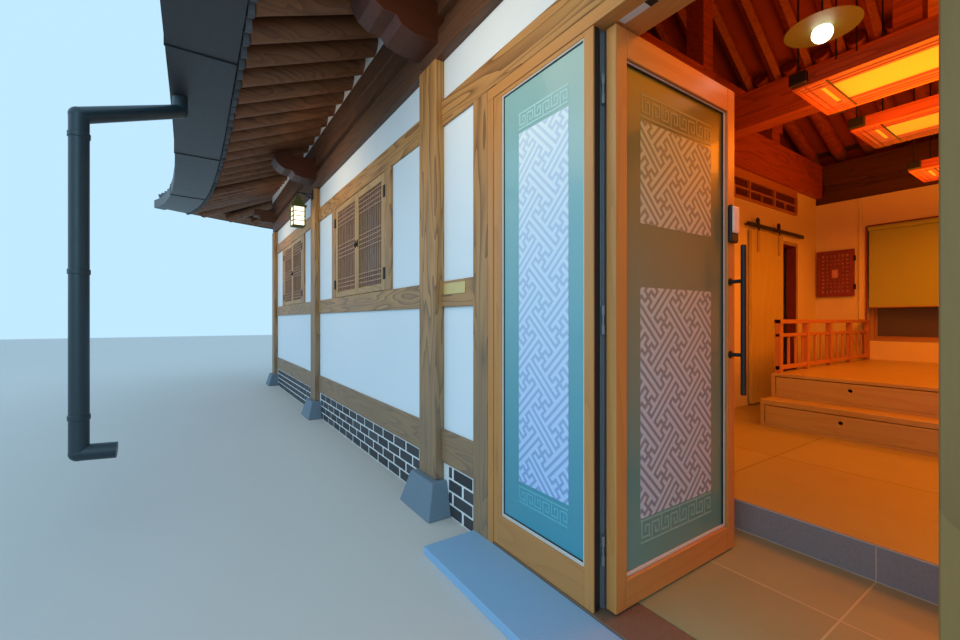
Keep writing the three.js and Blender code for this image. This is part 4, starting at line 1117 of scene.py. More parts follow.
def key_band(name, width, height, line):
    """A level band of square hooks between two lines, in the XZ plane."""
    unit = height / 6
    count = max(2, round(width / (4.4 * unit)))
    pitch = width / count
    hook = [(0, -3), (0, 1.6), (0.72, 1.6), (0.72, -1.4), (0.36, -1.4), (0.36, 0.3)]
    piece = begin(name)
    for z in (-3 * unit, 3 * unit):
        flat_route([(-width / 2, z), (width / 2, z)], line)
    for i in range(count):
        left = -width / 2 + pitch * i
        way = 1 if i % 2 else -1
        flat_route([(left + (x + 0.14) * pitch, way * z * unit) for x, z in hook], line)
    close(piece)
    reshape(piece, lambda p: np.column_stack([p[:, 0], -p[:, 2], p[:, 1]]))
    return trimmed(piece, (-width / 2, width / 2), (-height, height))


def on_front(points, x, y, z):
    """Places a pattern drawn round the origin on a pane that faces -Y."""
    return points + np.array([x, y, z])


def on_leaf(points, x, y, z):
    """Places a pattern drawn round the origin on the pane that faces +X, read from its hinge side."""
    return np.column_stack([x - points[:, 1], y + points[:, 0], z + points[:, 2]])


class HANOK_OT_entrance(bpy.types.Operator):
    """Frame, fixed leaf and hinged leaf of the glazed entrance"""

    bl_idname = "hanok.entrance"
    bl_label = "Glazed entrance"

    face_y = -2.757
    head_z = 2.061
    lining_x = 1.952
    clear_z = (VESTIBULE_Z + 0.002, 2.059)
    leaf_x = (2.552, 2.594)
    leaf_y = (-2.704, -1.905)
    fret_line = 0.0115
    key_line = 0.0068

    def execute(self, context):
        unit = context.scene.hanok_sizes.fret_unit
        self.frame()
        self.fixed_leaf()
        self.fixed_patterns(unit)
        self.leaf()
        self.leaf_patterns(unit)
        self.hinge_side()
        self.handle()
        self.lock()
        return {"FINISHED"}

    def frame(self):
        depth = (self.face_y, -INNER_Y)
        lining = [((FAR_POST[1], self.lining_x), depth, (SILL_BASE, self.head_z))]
        lay("entrance_lining", lining, "door_z", 0.003, 2, ["door_frame"])
        head = [((FAR_POST[1], NEAR_POST[0]), depth, (self.head_z, UPPER_RAIL[0]))]
        lay("entrance_head", head, "door_x", 0.003, 2)
        sill = [((self.lining_x, NEAR_POST[0]), depth, (SILL_BASE, VESTIBULE_Z))]
        lay("entrance_sill", sill, "threshold", 0.003, 2)

    def fixed_leaf(self):
        """Stiles and rails round the glass, with a cover strip, pale beads and dark seals on its face."""
        depth, rise = (self.face_y + 0.005, -2.722), (VESTIBULE_Z, self.head_z)
        glass_x, glass_z = (1.983, 2.495), (0.18, 2.043)
        bead_x, bead_z = (2.022, 2.488), (0.194, 2.036)
        end_x, seal_x = 2.5372, 2.027
        # A dark strip on the stile's side face, by the hinged leaf: painted shade in the gap.
        side_shadow = [((2.5373, 2.538), (-2.746, -2.7225), self.clear_z)]
        lay("stile_side_painted_shade", side_shadow, "dark_metal", 0)
        stiles = [((self.lining_x, glass_x[0]), depth, rise), ((glass_x[1], end_x), depth, rise)]
        lay("fixed_leaf_stiles", stiles, "door_z", 0.002, 2, ["fixed_leaf"])
        rails = [(glass_x, depth, (rise[0], glass_z[0])), (glass_x, depth, (glass_z[1], rise[1]))]
        lay("fixed_leaf_rails", rails, "door_x", 0.002, 2)
        cover = [((1.9832, 2.012), (-2.7515, -2.7456), (0.1802, 2.0428))]
        lay("fixed_leaf_cover", cover, "door_z", 0.002, 2)
        y_bead, y_seal = (-2.7495, -2.7452), (-2.7485, -2.7453)
        beads = [((2.0122, bead_x[0]), y_bead, glass_z), ((bead_x[1], glass_x[1]), y_bead, glass_z),
                 (bead_x, y_bead, (glass_z[0], bead_z[0])), (bead_x, y_bead, (bead_z[1], glass_z[1]))]
        lay("fixed_leaf_beads", beads, "bead", 0.0015)
        seals = [((2.0222, seal_x), y_seal, bead_z), ((seal_x, bead_x[1]), y_seal, (bead_z[0], 0.1995)),
                 ((seal_x, bead_x[1]), y_seal, (2.0305, bead_z[1]))]
        lay("fixed_leaf_seals", seals, "dark_metal", 0.0008)
        keep_node("fixed_glass", "fixed_glass")

    def etch(self, pattern, place, look, body=HOUSE):
        """Lays a flat pattern on its glass and gives it its thickness."""
        reshape(pattern, place)
        modify(pattern, "SOLIDIFY", thickness=0.0005)
        hand_over(pattern, look, [], body)

    def fixed_patterns(self, unit):
        x, y = 2.27, -2.7456
        low, high, width, band = 0.37, 1.836, 0.288, 0.064
        film = [(about(x, width / 2), (y, y + 0.0004), (low, high))]
        lay("fixed_frost", film, "fixed_film", 0)
        lines = fret_field("fixed_fret", width, high - low, unit, self.fret_line)
        self.etch(lines, lambda p: on_front(p, x, y - 0.0006, (low + high) / 2), "fixed_line")
        for name, z in (("low", low - 0.02 - band / 2), ("high", high + 0.018 + band / 2)):
            key = key_band(f"fixed_key_{name}", width, band, self.key_line)
            self.etch(key, lambda p: on_front(p, x, y - 0.0004, z), "fixed_key")

    def leaf(self):
        """Stiles and rails of the hinged leaf, with beads on both faces of its glass."""
        hinge, end = self.leaf_y
        stile, low, high = 0.059, 0.052, 2.055
        inner, glass_z = (hinge + stile, end - stile), (0.152, 1.955)
        stiles = [(self.leaf_x, (hinge, inner[0]), (low, high)), (self.leaf_x, (inner[1], end), (low, high))]
        lay("leaf_stiles", stiles, "door_z", 0.003, 2, ["door_leaf"], LEAF)
        rails = [(self.leaf_x, inner, (low, glass_z[0])), (self.leaf_x, inner, (glass_z[1], high))]
        lay("leaf_rails", rails, "door_y", 0.003, 2, [], LEAF)
        x_seal = (2.5745, 2.5805)
        seals = [(x_seal, (inner[1] - 0.0145, inner[1] - 0.0112), (0.1632, 1.9508)),
                 (x_seal, (inner[0] + 0.0042, inner[1] - 0.0146), (1.9455, 1.9508))]
        lay("leaf_seals", seals, "dark_metal", 0.0008, 1, [], LEAF)
        between = (inner[0] + 0.004, inner[1] - 0.011)
        beads = []
        for x_bead in ((2.5745, 2.583), (2.557, 2.5655)):
            beads += [(x_bead, (inner[0], between[0]), glass_z), (x_bead, (between[1], inner[1]), glass_z),
                      (x_bead, between, (glass_z[0], 0.163)), (x_bead, between, (1.951, glass_z[1]))]
        lay("leaf_beads", beads, "bead", 0.0015, 1, [], LEAF)
        keep_node("door_glass", "leaf_glass")

    def leaf_patterns(self, unit):
        """Two frosted fields with a bare band between them, and a key band above and below."""
        x, y, width = 2.5744, -2.3045, 0.48
        for name, low, high in (("high", 1.401, 1.776), ("low", 0.328, 1.169)):
            film = [((x - 0.0004, x), about(y, width / 2), (low, high))]
            lay(f"leaf_frost_{name}", film, "leaf_film", 0, 1, [], LEAF)
            lines = fret_field(f"leaf_fret_{name}", width, high - low, unit, self.fret_line)
            self.etch(lines, lambda p: on_leaf(p, x + 0.0006, y, (low + high) / 2), "leaf_line", LEAF)
        for name, low, high in (("leaf_key_high", 1.79, 1.87), ("leaf_key_low", 0.239, 0.319)):
            key = key_band(name, width, high - low, self.key_line)
            self.etch(key, lambda p: on_leaf(p, x + 0.0005, y, (low + high) / 2), "leaf_key", LEAF)

    def hinge_side(self):
        """The ribbed hinge extrusion and the pivot plate under the head."""
        renew("hinge_profile", "hinge_extrusion", 0.0008, "hinge")
        ribs = [(x_rib, (-2.7095, -2.7032), self.clear_z) for x_rib in ((2.5215, 2.5255), (2.529, 2.533))]
        lay("hinge_ribs", ribs, "hinge", 0.001)
        plate_z = (2.0601, 2.0609)
        lay("pivot_plate", [((2.6, 2.7), (-2.697, -2.667), plate_z)], "bead", 0)
        plate_end = [((2.7001, 2.728), (-2.699, -2.665), plate_z)]
        lay("pivot_plate_end", plate_end, "dark_metal", 0)

    def handle(self):
        """Upright pull bar on two posts, each with a round rose on the stile."""
        face, metal = self.leaf_x[1], "dark_metal"
        x, y = face + 0.056, self.leaf_y[1] - 0.042
        heights = (0.9, 1.216)
        grip = [((x, y, 0.73), (x, y, 1.37))]
        lay_rods("leaf_pull", grip, 0.011, 20, metal, 0.003, ["door_handle"], LEAF)
        posts = [((face, y, z), (x, y, z)) for z in heights]
        lay_rods("leaf_pull_posts", posts, 0.008, 16, metal, 0, [], LEAF)
        roses = [((face, y, z), (face + 0.006, y, z)) for z in heights]
        lay_rods("leaf_pull_roses", roses, 0.017, 20, metal, 0.0015, [], LEAF)

    def lock(self):
        face, end = self.leaf_x[1], self.leaf_y[1]
        y0, y1 = end - 0.066, end - 0.004
        body = [((face, face + 0.02), (y0, y1), (1.385, 1.548))]
        lay("lock_body", body, "dark_metal", 0.008, 3, ["door_lock"], LEAF)
        cap = [((face + 0.012, face + 0.026), (y0 + 0.006, y1 - 0.006), (1.425, 1.542))]
        lay("lock_cap", cap, "white_cap", 0.006, 3, [], LEAF)


class HANOK_OT_carpentry(bpy.types.Operator):
    """Purlins, beams, rafters and eave boards"""

    bl_idname = "hanok.carpentry"
    bl_label = "Roof carpentry"

    def execute(self, context):
        self.purlins_and_beams()
        self.rafters(context.scene.hanok_sizes.rafter_radius)
        self.infill()
        self.battens()
        keep_node("rafters_upper", "rafter_y")
        return {"FINISHED"}

    def purlins_and_beams(self):
        renew("wall_plate", "eave_purlins", 0.004, "stained_x")
        for node, name, axis in (("crossbeam_far", "far_beam", "y"), ("crossbeam_near", "near_beam", "y"),
                                 ("upper_roof_frame", "middle_purlins", "x")):
            renew(node, name, 0.006, f"beam_{axis}")

    def rafters(self, radius):
        """Round rafters over the sides and ends, with a fan at each corner."""
        drop = radius * math.sqrt(1 + DECK_SLOPE ** 2) + 0.0045
        height = lambda d: DECK_EDGE_Z + DECK_SLOPE * d - drop
        side = lambda s, x, y: (x, s * y, height(EAVE_Y - y))
        end = lambda e, x, y: (e * x, y, height(EAVE_X - x))
        tip_y, tip_x = EAVE_Y - 0.256, EAVE_X - 0.256
        spacing, overlap = 0.27, 0.1
        across, along = [], []
        for i in range(-9, 10):
            x = i * spacing
            across += [(side(s, x, MID_PURLIN_Y - overlap), side(s, x, tip_y)) for s in SIDES]
        for i in range(-4, 5):
            y = i * spacing
            along += [(end(e, MID_PURLIN_X - overlap, y), end(e, tip_x, y)) for e in SIDES]
        fan, start = 7, 0.56
        side_tips = np.linspace(MID_PURLIN_X + 0.24, tip_x - 0.16, fan)
        end_tips = np.linspace(MID_PURLIN_Y + 0.04, tip_y - 0.18, fan)
        toward = lambda a, b: a + (b - a) * start
        for e, s in CORNERS:
            across += [(side(s, e * toward(MID_PURLIN_X, tip), toward(MID_PURLIN_Y, tip_y)),
                        side(s, e * tip, tip_y)) for tip in side_tips]
            along += [(end(e, toward(MID_PURLIN_X, tip_x), s * toward(MID_PURLIN_Y, tip)),
                       end(e, tip_x, s * tip)) for tip in end_tips]
        for name, routes, axis, nodes in (("side_rafters", across, "y", ["rafters"]),
                                          ("end_rafters", along, "x", [])):
            piece = rods(name, routes, radius - 0.001, 16, 0.006)
            reshape(piece, lambda p: bend(p, CORNER_LIFT - 0.016))
            hand_over(piece, f"rafter_{axis}", nodes)

    def infill(self):
        """Lime between the rafters, over the wall plate."""
        low, play = 2.94, 0.002
        side_top, end_top = deck_z(EAVE_Y - 2.797) - play, deck_z(EAVE_X - END_X - 0.097) - play
        limits = []
        for s in SIDES:
            limits += [((-END_X - 0.09, END_X + 0.09), mirrored(s, 2.745, 2.797), (low, side_top)),
                       (mirrored(s, END_X + 0.045, END_X + 0.097), (-2.744, 2.744), (low, end_top))]
        lay("rafter_infill", limits, "infill", 0)

    def battens(self):
        """The board round the eaves, in eight bent lengths."""
        out, inner, depth = 0.14, 0.33, 0.045
        parts = []
        for s, e in CORNERS:
            parts.append(strip(e, s, EAVE_X - inner, EAVE_Y - inner, EAVE_Y - out, depth, True))
            parts.append(strip(e, s, EAVE_Y - inner, EAVE_X - inner, EAVE_X - out, depth, False))
        hand_over(joined(parts, "eave_batten"), "rafter_x")


def strip(e, s, stop, inner, outer, depth, along_side):
    """A bent length of board under the deck, from the middle of an eave to a corner."""
    piece = sliced("strip", 14)

    def place(p):
        across = inner + (outer - inner) * (p[:, 1] + 0.5)
        run_limit = stop + (across - inner)
        run = p[:, 0] * run_limit
        x, y = (run, across) if along_side else (across, run)
        edge = EAVE_Y if along_side else EAVE_X
        z = DECK_EDGE_Z + DECK_SLOPE * (edge - across) + (p[:, 2] - 0.5) * depth - 0.0008
        return bend(np.column_stack([e * x, s * y, z]), CORNER_LIFT - 0.03)

    reshape(piece, place)
    face_outward(piece)
    return piece


class HANOK_OT_roof(bpy.types.Operator):
    """Bed, tiles, ridges, gable boards, gutters and downpipe"""

    bl_idname = "hanok.roof"
    bl_label = "Tiled roof"

    verge_length = 1.86
    main_ridge_half = 3.36
    hip_start = (3.18, 1.755)

    def execute(self, context):
        sizes = context.scene.hanok_sizes
        renew("roof", "roof_bed", 0, "bed")
        self.tiles(sizes.tile_row, sizes.tile_step)
        self.row_ends(sizes.tile_row)
        self.ridges()
        self.wind_boards()
        self.gable_boards()
        self.gutters()
        self.downpipe()
        return {"FINISHED"}

    def cover_tile(self):
        """Half-round tile, wider at its low end."""
        deselect()
        bpy.ops.mesh.primitive_cylinder_add(vertices=12, radius=1, depth=1.12, rotation=(math.pi / 2, 0, 0))
        piece = settle(bpy.context.object)
        with editing(piece):
            bpy.ops.mesh.bisect(plane_co=(0, 0, -0.2), plane_no=(0, 0, -1), clear_outer=True, use_fill=True)
        radius, narrowing, tilt = 0.076, 0.012, 0.010

        def taper(p):
            wide = radius - narrowing * (p[:, 1] + 0.5)
            height = p[:, 2] * wide + 0.012 - tilt * p[:, 1]
            return np.column_stack([p[:, 0] * wide, p[:, 1] + 0.44, height])

        return reshape(piece, taper)

    def trough_tile(self):
        """Shallow tile between two cover rows, with a lip at its low end."""
        width, overlap = 0.17, 1.04
        top, bottom, lip = 0.011, -0.02, 0.008

        def sag(p):
            across = p[:, 0] - 0.5
            height = 0.014 + 0.075 * across ** 2 + np.where(p[:, 2] > 0, top, bottom)
            height += np.where(p[:, 1] < 0, lip, 0)
            return np.column_stack([across * width, p[:, 1] * overlap + 0.5, height])

        return reshape(sliced("trough_tile", 4), sag)

    def rows(self, spacing, shift):
        """Every row of tiles on the sides and ends: its place, its side and its length up the slope."""
        shortest = 0.12
        side, end = [], []
        for i in range(-20, 20):
            x = (i + shift) * spacing
            reach = EAVE_Y - 0.06 if abs(x) < GABLE_X - 0.02 else EAVE_X - abs(x)
            if reach > shortest:
                side += [(x, s, reach) for s in SIDES]
        for i in range(-15, 15):
            y = (i + shift) * spacing
            reach = min(EAVE_Y - abs(y), EAVE_X - GABLE_X - 0.01)
            if reach > shortest:
                end += [(y, s, reach) for s in SIDES]
        return (("side", side), ("end", end))

    def tiles(self, spacing, step):
        for name, tile, shift in (("cover_tiles", self.cover_tile(), 0.0),
                                  ("trough_tiles", self.trough_tile(), 0.5)):
            for group, rows in self.rows(spacing, shift):
                laid = []
                for along, sign, reach in rows:
                    count = max(1, round(reach / step))
                    row = copy_of(tile, "row")
                    repeat(row, count, (0, 1, 0))
                    reshape(row, lambda p: on_slope(p, along, sign, reach / count, group == "side"))
                    laid.append(row)
                piece = joined(laid, f"{group}_{name}")
                number_boards(piece, len(tile.data.vertices))
                face_outward(piece)
                smooth(piece)
                hand_over(piece, "tile")
            bpy.data.objects.remove(tile)

    def row_ends(self, spacing):
        """Round ends of the cover rows and curved lips under the trough rows."""
        for name, shift, sides, radius, depth, ahead, shape, edge in (
            ("cover_row_ends", 0.0, 16, 0.078, 0.02, 0.018, np.copy, 0.004),
            ("trough_row_lips", 0.5, 12, 0.082, 0.016, 0.012, flattened, 0),
        ):
            parts = []
            for group, rows in self.rows(spacing, shift):
                places = [(i, 0, 0) for i in range(len(rows))]
                piece = many("ends", bpy.ops.mesh.primitive_cylinder_add, places, vertices=sides,
                             radius=radius, depth=depth, rotation=(math.pi / 2, 0, 0))
                reshape(piece, lambda p: rows_placed(shape(p), rows, 2 * sides, group == "side", ahead))
                parts.append(piece)
            piece = joined(parts, name)
            number_boards(piece, 2 * sides)
            if edge:
                ease(piece, edge)
            smooth(piece)
            hand_over(piece, "tile")

    def ridges(self):
        """Stacked courses bedded in lime, under a row of half-round tiles."""
        runs = [("main_ridge", 2 * self.main_ridge_half, 0.3, 0.11, 0.12, self.main_path)]
        for e, s in CORNERS:
            tag = ("near" if e > 0 else "far") + ("_back" if s > 0 else "_front")
            runs.append((f"verge_ridge{tag}", self.verge_length, 0.19, 0.05, 0.1, self.verge_path(e, s)))
            runs.append((f"hip_ridge{tag}", 2.878, 0.15, 0.06, 0.1, self.hip_path(e, s)))
        nodes = ["roof_ridges"]
        for name, length, height, bed, half, path in runs:
            lime, courses, cover = self.ridge(name, length, height, bed, half)
            for piece, look in ((lime, "mortar"), (courses, "tile"), (cover, "tile")):
                reshape(piece, path)
                hand_over(piece, look, nodes)
                nodes = []

    def ridge(self, name, length, height, bed, half):
        """A straight ridge along X, starting at the origin."""
        crown, course, tile_length, joint, shortest = 0.075, 0.042, 0.3, 0.002, 0.02
        segments = max(3, round(length / tile_length))
        pitch = length / segments
        top = height - crown
        count = max(2, round(top / course))
        rise = top / count
        tiles = []
        for row in range(count):
            inset = 0.004 * row + (0.008 if row % 2 else 0)
            shift = pitch / 2 if row % 2 else 0
            z_range = (row * rise + 0.014, (row + 1) * rise - joint)
            for i in range(segments + 1):
                a, b = max(0, i * pitch - shift), min(length, (i + 1) * pitch - shift)
                if b - a > shortest:
                    tiles.append(((a + joint, b - joint), (-half + inset, half - inset), z_range))
        sizes = np.array([length, 2 * half - 0.04, top + bed])
        middle = np.array([0, 0, (top - bed) / 2])
        lime = reshape(sliced(name + "_lime", segments), lambda p: p * sizes + middle)
        courses = boxes(name + "_courses", tiles, 0.004)
        cover = self.cover_tile()
        cover.name = name + "_cover"
        size = len(cover.data.vertices)
        repeat(cover, segments, (0, 1, 0))
        number_boards(cover, size)

        def lay_cover(p):
            along = np.clip(p[:, 1] * pitch, 0, length)
            return np.column_stack([along, -p[:, 0] * (half / 0.078), p[:, 2] * 0.8 + top])

        reshape(cover, lay_cover)
        face_outward(cover)
        smooth(cover)
        return lime, courses, cover

    def main_path(self, p):
        """Along the peak, rising a little towards both ends."""
        x = p[:, 0] - self.main_ridge_half
        lift = 0.11 * np.abs(x / self.main_ridge_half) ** 3
        return np.column_stack([x, p[:, 1], tile_z(EAVE_Y) + p[:, 2] + lift])

    def verge_path(self, e, s):
        """Down the edge of a gable."""
        def path(p):
            y = p[:, 0] + 0.01
            z = tile_z(EAVE_Y - y) + p[:, 2]
            return bend(np.column_stack([e * (GABLE_X - 0.13) + p[:, 1], s * y, z]))
        return path

    def hip_path(self, e, s):
        """From the foot of a verge out to a corner."""
        def path(p):
            run = p[:, 0] * math.sqrt(0.5)
            side = p[:, 1] * math.sqrt(0.5)
            x, y = self.hip_start[0] + run + side, self.hip_start[1] + run - side
            z = tile_z(EAVE_Y - (self.hip_start[1] + run)) + p[:, 2]
            return bend(np.column_stack([e * x, s * y, z]))
        return path

    def wind_boards(self):
        """Boards that close the gables under the verge ridges."""
        cuts, width, thick, below = 8, 0.24, 0.028, 0.02
        parts = []
        for e, s in CORNERS:

            def place(p):
                y = p[:, 0] * self.verge_length + 0.002
                z = tile_z(EAVE_Y - y) - below - (0.5 - p[:, 2]) * width
                return bend(np.column_stack([e * (GABLE_X + 0.016 + p[:, 1] * thick), s * y, z]))

            parts.append(reshape(sliced("wind_board", cuts), place))
        board = joined(parts, "wind_boards")
        number_boards(board, 4 * (cuts + 1))
        face_outward(board)
        ease(board, 0.003)
        hand_over(board, "stained_y")

    def gable_boards(self):
        """Upright boards that fill the gables."""
        pitch, half, shortest = 0.2, 0.098, 0.05
        low = tile_z(EAVE_X - GABLE_X) + 0.005
        slats = []
        for e in SIDES:
            for i in range(-8, 9):
                y = i * pitch
                top = tile_z(EAVE_Y - abs(y)) - 0.2
                if top > low + shortest:
                    slats.append((mirrored(e, GABLE_X - 0.002, GABLE_X + 0.014), about(y, half), (low, top)))
        lay("gable_boards", slats, "stained_z")

    def gutters(self):
        """The two troughs, their straps, and the ragged line of tiles that shows behind each."""
        first, pitch = 0.55, 1.9
        outer = EAVE_Y + 0.126
        lump_pitch = 0.135
        for node, name, s in (("gutter_front", "front_trough", -1), ("gutter_back", "back_trough", 1)):
            renew(node, name, 0.002, "gutter")
            straps = []
            for i in range(-2, 3):
                x = first + i * pitch
                straps += [(about(x, 0.006), mirrored(s, EAVE_Y - 0.235, outer), (2.594, 2.6)),
                           (about(x, 0.012), mirrored(s, EAVE_Y + 0.1202, outer), (2.6, 2.735)),
                           (about(x, 0.012), mirrored(s, EAVE_Y - 0.03, outer), (2.727, 2.732))]
            belt = boxes(name + "_straps", straps, 0.0015)
            reshape(belt, bend)
            hand_over(belt, "dark_metal")
            lumps = [((i * lump_pitch, s * 3.634, 2.655), (i * lump_pitch, s * 3.664, 2.65))
                     for i in range(-37, 38)]
            ragged = rods(name + "_tile_line", lumps, 0.062, 10)
            reshape(ragged, bend)
            hand_over(ragged, "tile")

    def downpipe(self):
        """From under the front gutter down to the elbow above the ground, with three rings."""
        x, y0, y1 = 0.35, -EAVE_Y - 0.062, -4.411
        spots = [(-0.1, y0, 2.5965), (-0.1, y0, 2.5), (x, y1, 2.175), (x, y1, 0.32), (x, -4.25, 0.31)]
        runs = list(zip(spots, spots[1:]))
        lay_rods("rain_pipe", runs, 0.045, 20, "pipe", nodes=["downpipe"])
        elbows = many("pipe_elbows", bpy.ops.mesh.primitive_uv_sphere_add, spots[1:-1], segments=20,
                      ring_count=12, radius=0.0465)
        smooth(elbows)
        hand_over(elbows, "pipe")
        rings = [((x, y1, z), (x, y1, z + 0.03)) for z in (2.05, 1.3, 0.5)]
        lay_rods("pipe_rings", rings, 0.0495, 20, "pipe", 0.003)


def flattened(points):
    """A disc whose upper part is pressed flat."""
    flat = points.copy()
    flat[:, 2] = np.minimum(points[:, 2], 0.012) * 0.8 + 0.012
    return flat


def over(side, across, out, z):
    """Bent points of the roof, over a side or over an end."""
    return bend(np.column_stack([across, out, z] if side else [out, across, z]))


def on_slope(points, along, sign, step, side):
    """Lays a row of tiles, drawn along +Y, up a slope of the roof."""
    d = points[:, 1] * step
    slope = TILE_SLOPE + 2 * TILE_CURVE * np.maximum(d, 0)
    tilt = 1 / np.sqrt(1 + slope ** 2)
    edge = EAVE_Y if side else EAVE_X
    out = edge - d + points[:, 2] * slope * tilt
    z = tile_z(d) + points[:, 2] * tilt
    across = along + points[:, 0]
    return over(side, across, sign * out, z)


def rows_placed(points, rows, size, side, ahead):
    """Sends shapes drawn at whole numbers along X to the low ends of their rows."""
    numbers = np.repeat(np.arange(len(rows)), size)
    along = np.array([row[0] for row in rows])[numbers]
    sign = np.array([row[1] for row in rows])[numbers]
    local = points.copy()
    local[:, 0] -= numbers
    edge = EAVE_Y if side else EAVE_X
    out = edge + ahead + local[:, 1]
    z = tile_z(0) + local[:, 2] + 0.01
    return over(side, along + local[:, 0], sign * out, z)


def face_outward(piece):
    with editing(piece):
        bpy.ops.mesh.normals_make_consistent(inside=False)


class HANOK_OT_hall(bpy.types.Operator):
    """Floors, platform, drawers, railing, partition, lamps, hatch and blind"""

    bl_idname = "hanok.hall"
    bl_label = "Inside of the house"

    rear_y = INNER_Y - 0.002

    def execute(self, context):
        self.floors()
        self.platform()
        self.railing()
        self.sliding_door()
        self.doorway()
        self.transom()
        self.lamps()
        self.pendants()
        self.hatch()
        self.window_wall()
        return {"FINISHED"}

    def floors(self):
        """Tiles of the hall and the vestibule, and the stone riser between them with its joints."""
        renew("floor_slab", "floor_bed", 0, "hall_floor")
        x_tile = (VESTIBULE_X + 0.002, INNER_X - 0.002)
        y0, y1 = -2.568, VESTIBULE_Y - 0.003
        lay("vestibule_tiles", [(x_tile, (y0, y1), (0.03, 0.0445))], "vestibule", 0)
        riser = [(x_tile, (y1, y1 + 0.012), (0.0446, 0.1865))]
        lay("vestibule_riser", riser, "riser", 0.002)
        x_joint, y_joint = (VESTIBULE_X + 0.003, INNER_X - 0.003), (y1 - 0.001, y1 - 0.0002)
        joints = [(x_joint, y_joint, (0.0447, 0.0485)), ((3.0182, 3.0218), y_joint, (0.0487, 0.181)),
                  (x_joint, y_joint, (0.1812, 0.1862))]
        lay("riser_joints", joints, "riser_joint", 0)

    def platform(self):
        look = "platform_x"
        for node, name in (("platform_base", "platform_carcass"), ("platform_top", "platform_deck")):
            renew(node, name, 0.002, look)
        for level in ("lower", "upper"):
            for i in (1, 2):
                box = f"{level}_drawer_box_{i}"
                renew(f"drawer_{level}_{i}", box, 0.002, look, f"{level}_drawer_{i}")

    def railing(self):
        """Top, middle and bottom rails between posts, with slats below the middle rail."""
        x, y0, y1, floor_z, top = 1.912, 0.25, INNER_Y - 0.001, 0.6, 1.055
        post, bays, slats, slat_half = 0.045, 4, 4, 0.009
        bar = lambda y_range, low, high, width: (about(x, width / 2), y_range, (low, high))
        level = [bar((y0, y1), top - 0.035, top, 0.053), bar((y0, y1), top - 0.15, top - 0.122, 0.032),
                 bar((y0, y1), floor_z + 0.025, floor_z + 0.06, 0.032)]
        upright = []
        for i in range(bays + 1):
            y = y0 + (y1 - y0 - post) * i / bays
            upright.append(bar((y, y + post), floor_z + 0.0005, top - 0.001, post))
        for i in range(slats * bays):
            y = y0 + (y1 - y0) * (i + 0.5) / (slats * bays)
            upright.append(bar(about(y, slat_half), floor_z + 0.055, top - 0.13, 0.016))
        lay("railing_rails", level, "door_y", 0.002, nodes=["railing"])
        lay("railing_posts", upright, "door_z", 0.002)

    def sliding_door(self):
        """Plain panel on two strap hangers, whose wheels run on the rail."""
        leaf, dark = "sliding_leaf", "dark_metal"
        panel = [((1.43, 1.465), (0.81, 1.53), (0.2, 1.97))]
        lay("sliding_panel", panel, "panel_z", nodes=["sliding_door"], body=leaf)
        axle, half, places = 2.071, 0.02, (0.93, 1.41)
        straps = [((1.4652, 1.4778), about(y, half), (1.75, 1.968)) for y in places]
        lay("hanger_straps", straps, "platform_z", 0.002, body=leaf)
        arms = [((1.4722, 1.4778), about(y, half), (1.9685, axle + 0.015)) for y in places]
        lay("hanger_arms", arms, dark, 0.002, body=leaf)
        wheels = [((1.4586, y, axle), (1.4721, y, axle)) for y in places]
        lay_rods("hanger_wheels", wheels, 0.0298, 24, dark, 0.002, body=leaf)
        renew("sliding_door_rail", "sliding_track", 0.001, dark)

    def doorway(self):
        """Casing on the partition's face and lining inside its doorway."""
        face, depth, top = (1.4205, 1.4248), (1.3205, 1.4195), 1.9095
        casing = [(face, (1.9905, 2.022), (0.189, 1.9105)), (face, (1.5305, 2.022), (1.911, 1.945))]
        lay("doorway_casing", casing, "platform_z", 0.001)
        lining = [(depth, y_range, (0.189, top)) for y_range in ((1.9835, 1.9895), (1.5305, 1.5365))]
        lining.append((depth, (1.537, 1.983), (1.9035, top)))
        lay("doorway_lining", lining, "hatch_z", 0.001)

    def transom(self):
        """Lattice over the doorway: wide openings above, openings half as wide below, with a dark sheet behind
        them as painted shade.
        """
        low, foot, middle, head, high = 2.262, 2.287, 2.362, 2.462, 2.548
        start, end, pitch, post, thin = -2.5, 1.951, 0.567, 0.022, 0.016
        back = 1.4215
        # The dark red sheet behind the lattice is painted shade seen through its openings.
        lay("transom_painted_shade", [((1.4204, 1.4212), (start, end), (low, high))], "void", 0)
        level = ((low, foot), (middle, 2.378), (head, high))
        bars = [((back, 1.446), (start, end), z_range) for z_range in level]
        y = end - post
        while y > start:
            bars.append(((back, 1.45), (y, y + post), (foot, head)))
            half_way = y - pitch / 2
            if half_way > start:
                bars.append(((back, 1.443), (half_way, half_way + thin), (foot, middle)))
            y -= pitch
        lay("transom_lattice", bars, "door_y", 0.002)

    def lamps(self):
        """Three box lamps on thin rods: a rim, a lit panel, lattice bars with painted shade lines between
        them, and black corner blocks.
        """
        x0, x1, half, z0, z1 = 2.5, 3.86, 0.265, 2.35, 2.43
        rim, bar, shadow_line_width = 0.025, 0.026, 0.007
        inner = half - 0.027
        x_panel, x_bars = (x0 + rim, x1 - rim), (x0 + 0.027, x1 - 0.027)

        def grid(y, ends, sides, width, half, z_short, z_long):
            """Short bars at both ends of a lamp, then long ones along both its sides."""
            short = [(x, x + width) for dx in ends for x in (x0 + dx, x1 - dx - width)]
            long = [about(y + side * (inner - dy), half) for side in SIDES for dy in sides]
            return ([(x_range, about(y, inner), z_short) for x_range in short]
                    + [(x_bars, y_range, z_long) for y_range in long])

